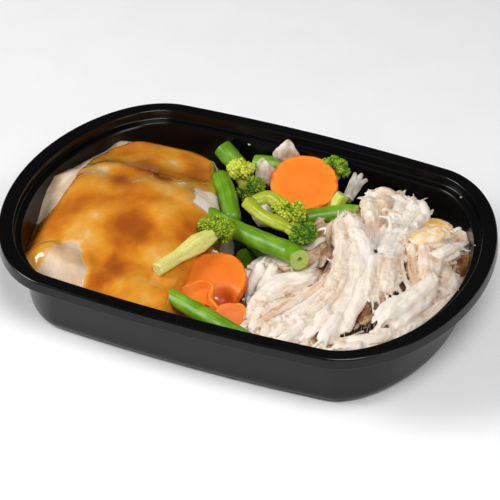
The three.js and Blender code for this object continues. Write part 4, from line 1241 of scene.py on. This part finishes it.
def one_skin(points, faces):
    """One closed skin of small square faces round overlapping meshes, slightly relaxed:
    its points, their normals and its faces."""
    mesh = bpy.data.meshes.new("loose strips")
    mesh.from_pydata(points.tolist(), [], faces)
    body = bpy.data.objects.new("loose strips", mesh)
    scene.collection.objects.link(body)
    remesh = body.modifiers.new("one skin", "REMESH")
    remesh.mode = "VOXEL"
    remesh.voxel_size = SKIN_CELL
    smooth = body.modifiers.new("relax", "SMOOTH")
    smooth.factor = 0.5
    smooth.iterations = 2
    result = body.evaluated_get(bpy.context.evaluated_depsgraph_get()).to_mesh()
    count = len(result.vertices)
    grown, normals = np.empty(count * 3, np.float32), np.empty(count * 3, np.float32)
    corners = np.empty(len(result.loops), np.int32)
    result.vertices.foreach_get("co", grown)
    result.vertex_normals.foreach_get("vector", normals)
    result.loops.foreach_get("vertex_index", corners)
    bpy.data.objects.remove(body)
    bpy.data.meshes.remove(mesh)
    return (grown.reshape(-1, 3).astype(float), normals.reshape(-1, 3).astype(float),
            corners.reshape(-1, 4))


def smoothed(points, quads, times):
    """Points of a mesh moved towards the mean of their neighbours, several times over."""
    edges = np.concatenate([quads[:, [k, (k + 1) % 4]] for k in range(4)])
    edges = np.unique(np.sort(edges, axis=1), axis=0)
    near, far, count = edges[:, 0], edges[:, 1], len(points)
    around = np.bincount(edges.ravel(), minlength=count)[:, None]
    for _ in range(times):
        total = [np.bincount(near, points[far, k], count) + np.bincount(far, points[near, k], count)
                 for k in range(3)]
        points = np.stack(total, 1) / around
    return points


def fused(parts, crumble):
    """Overlapping strips grown into one skin, which is then roughened: fine ridges along the
    fibres, and crumbly lumps where the meat broke across them. Its hollows are painted browner,
    partly as juices and partly as shade, and its ridges paler, as painted light."""
    points, faces, marks = joined(parts)
    grown, normals, quads = one_skin(points, faces)
    finder = kdtree.KDTree(len(points))
    for i, point in enumerate(points.tolist()):
        finder.insert(point, i)
    finder.balance()
    nearest = np.array([finder.find(point)[1] for point in grown.tolist()])
    offset = grown - points[nearest]
    axes = marks["axes"][nearest].reshape(-1, 3, 3)
    strand = marks["strand"][nearest] + (axes * offset[:, None, :]).sum(2)
    a, b, c = strand.T
    fibres = 0.2 * rough(b, c, 1.25, 3.1, a / 7) + 0.26 * rough(b, c, 2.9, 5.7, a / 12)
    x, y, z = grown.T
    broken = np.clip(0.25 + 1.3 * rough(x, y, 11, 4.2, z) + crumble, 0, 1)
    lumps = 0.55 * np.abs(rough(x, y, 2.3, 1.7, z)) + 0.4 * np.abs(rough(x, y, 1.2, 8.3, z)) - 0.2
    rough_points = grown + normals * (fibres + broken * lumps * 1.5)[:, None]
    level = smoothed(rough_points, quads, 14)
    # Hollows are painted browner, partly as juices and partly as shade; ridges paler, as painted
    # light.
    hollow = np.clip(((level - rough_points) * normals).sum(1) / HOLLOW_DEPTH, -0.5, 1)
    tone = marks["tone"][nearest] + 0.32 * np.clip(hollow, 0, 1) - 0.1 * np.clip(-hollow, 0, 1)
    return held_in_tray(rough_points), quads.tolist(), {"strand": strand, "tone": tone}


core_points, core_faces = heap(CHICKEN_AREA, 0.75, core_height)
x, y, z = core_points.T
# The heap is painted browner round the gaps between strips, as shade in them.
sunk = lump_rise(x, y, [(cx, cy, radius * 1.2, 1) for cx, cy, radius, _ in CHICKEN_HOLES])
new_piece("chicken_heap", core_points, core_faces, meat, ["shredded_chicken"],
          {"strand": np.stack([x * 0.45 + y, x - y * 0.45, z], 1),
           "tone": np.clip(0.42 + 0.35 * rough(x, y, 9, 4.0) + 0.8 * sunk, 0.15, 1.1)})

SHREDS = 120
CRUMB_AREAS = (                      # x from and to, y from and to, how many
    (12, 46, -66, -36, 60), (54, 86, 18, 50, 55), (38, 56, 28, 50, 20))


def resting_height(x, y, in_heap):
    """Where a loose shred lies: on the heap, or sunk in_heap millimetres between strips."""
    top, _ = strip_tops(x, y)
    return np.maximum(shape_of_heap(x, y) - 2.2, top - in_heap)


# Smaller shreds fill the heap between and under the strips, lying the same way as they do.
random = np.random.default_rng(21)
shreds = []
while len(shreds) < SHREDS:
    x, y = random.uniform(4, 99), random.uniform(-66, 58)
    spot = np.array([[x]]), np.array([[y]])
    inset, _ = inset_at(*spot)
    if inset[0, 0] < 15 or shape_of_heap(*spot)[0, 0] < 14:
        continue
    if any(math.hypot(x - cx, y - cy) < radius for cx, cy, radius, _ in CHICKEN_HOLES):
        continue
    _, way = strip_tops(*spot)
    heading = math.atan2(way[0, 0, 1], way[0, 0, 0]) + random.normal(0, 0.4)
    half = random.uniform(3, 9)
    steps = np.array([-1, -0.35, 0.35, 1]) * half
    bend = random.normal(0, 0.15) * (steps / half) ** 2 * half
    px = x + steps * math.cos(heading) - bend * math.sin(heading)
    py = y + steps * math.sin(heading) + bend * math.cos(heading)
    thick = random.uniform(1.6, 3.4)
    inset, _ = inset_at(px, py)
    if inset.min() < 13:
        continue
    rest = resting_height(px, py, 1.3)
    rest = np.polyval(np.polyfit(steps, rest, 1), steps) - thick * 0.3
    wide = random.uniform(2.4, 5.0)
    shreds.append((x, torn_strip(np.stack([px, py, rest], 1), (wide * 0.7, wide, wide * 0.6),
                                 thick, random.choice([0.02, 0.12, 0.2, 0.35, 0.5]), random,
                                 0.6, 0.16)))

# Broken crumbs of meat lie over the near left corner and over the torn back of the heap.
for low_x, high_x, low_y, high_y, count in CRUMB_AREAS:
    for _ in range(count):
        x, y = random.uniform(low_x, high_x), random.uniform(low_y, high_y)
        heading, half = random.uniform(0, 2 * math.pi), random.uniform(1.4, 3.4)
        px = x + np.array([-1, 0, 1]) * half * math.cos(heading)
        py = y + np.array([-1, 0, 1]) * half * math.sin(heading)
        inset, _ = inset_at(px, py)
        if inset.min() < 14:
            continue
        thick = random.uniform(1.4, 2.6)
        rest = (resting_height(px, py, 0) - 0.25 * thick
                + (-0.3, random.uniform(0, 0.5), -0.3))
        shreds.append((x, torn_strip(np.stack([px, py, rest], 1), (thick, thick * 1.3, thick),
                                     thick, random.uniform(0.0, 0.4), random, 0.5, 0.2, 2)))

random = np.random.default_rng(7)
strips = [(np.mean(route, 0)[0],
           torn_strip(route, np.array(widths) * STRIP_FULLER, thick, tone, random))
          for route, widths, thick, tone in CHICKEN_STRIPS.values()]
for part, low, high, crumble in (("left", -99, 36, 0.1), ("middle", 36, 60, 0.1),
                                 ("right", 60, 999, 0.3)):
    chosen = [strip for x, strip in strips + shreds if low <= x < high]
    points, faces, marks = fused(chosen, crumble)
    new_piece("chicken_strips_" + part, points, faces, meat, (), marks)
skins = [torn_strip(route, np.array(widths) * SKIN_FULLER, thick, tone, random, 0.3, 0.1, 3)
         for route, widths, thick, tone in CHICKEN_SKIN.values()]
points, faces, marks = fused(skins, 0.0)
new_piece("chicken_skin", points, faces, roast_skin, (), marks)

# Thin loose fibres stand off the torn ends of the strips.
random = np.random.default_rng(5)
fibres = []
for route, widths, thick, tone in CHICKEN_STRIPS.values():
    path, distance = smooth_route(route, 30)
    along, sideways, outward = carried_frames(path)
    for end, sign in ((0, -1), (-1, 1)):
        for _ in range(2):
            way = along[end] * sign * 0.8 + random.normal(0, 0.4, 3)
            way[2] = min(way[2], -0.1) - 0.3
            start = (path[end] - along[end] * sign * 2
                     + sideways[end] * random.uniform(-0.4, 0.4) * widths[end])
            long = random.uniform(2, 4.5)
            curl = random.normal(0, 0.12, 3) * long
            radius = random.uniform(0.12, 0.22)
            route = (start, start + way * long * 0.5 + curl, start + way * long)
            points, faces, marks = sweep(route, (radius, radius * 0.6), sides=6, steps=8)
            fibres.append((held_in_tray(points), faces,
                           {"strand": marks["strand"], "tone": np.full(len(points), 0.05)}))
points, faces, marks = joined(fibres)
new_piece("chicken_fibres", points, faces, meat, (), marks)

# ---- the small bits ----------------------------------------------------------------------
# Crumbs that fell as the tray was filled: specks of mash and chicken on the gravy, between
# the vegetables and on the black rim and wall.
BITS = (                             # centre, size, and which food it came from
    ((-28.3, 68.0, 27.4), 0.9, "mash"), ((88.6, 50.4, 29.3), 1.1, "meat"),
    ((-28.3, -36.5, 28.6), 1.5, "mash"), ((-8.5, -17.4, 28.2), 1.7, "mash"),
    ((-6.4, -19.5, 27.6), 1.2, "meat"), ((-15.8, -46.6, 26.4), 0.9, "mash"),
    ((-14.4, -52.5, 25.4), 1.1, "mash"), ((15.8, -41.4, 26.2), 0.8, "meat"),
    ((20.4, -50.4, 23.6), 1.3, "meat"), ((96.5, 26.4, 33.9), 0.5, "meat"),
    ((78.0, 58.5, 33.9), 0.45, "meat"), ((101.5, -8.0, 34.3), 0.4, "meat"),
    ((-60.0, 74.8, 34.3), 0.35, "mash"), ((4.2, -43.8, 24.6), 0.9, "mash"),
)

random = np.random.default_rng(11)
speck_points, speck_faces = ball(3)
for food, flesh in (("mash", mash), ("meat", meat)):
    parts = []
    x, y, z = speck_points.T
    for centre, size in [bit[:2] for bit in BITS if bit[2] == food]:
        lumpy = 0.85 + 0.9 * rough(x, y, 0.7, random.uniform(0, 30), z)
        squash = random.uniform(0.35, 1.1, 3)
        parts.append((speck_points * lumpy[:, None] * squash * size + centre, speck_faces,
                      {"tone": np.full(len(speck_points), 0.45),
                       "strand": speck_points * size + centre}))
    points, faces, marks = joined(parts)
    new_piece("bits_of_" + food, points, faces, flesh,
              (), marks)
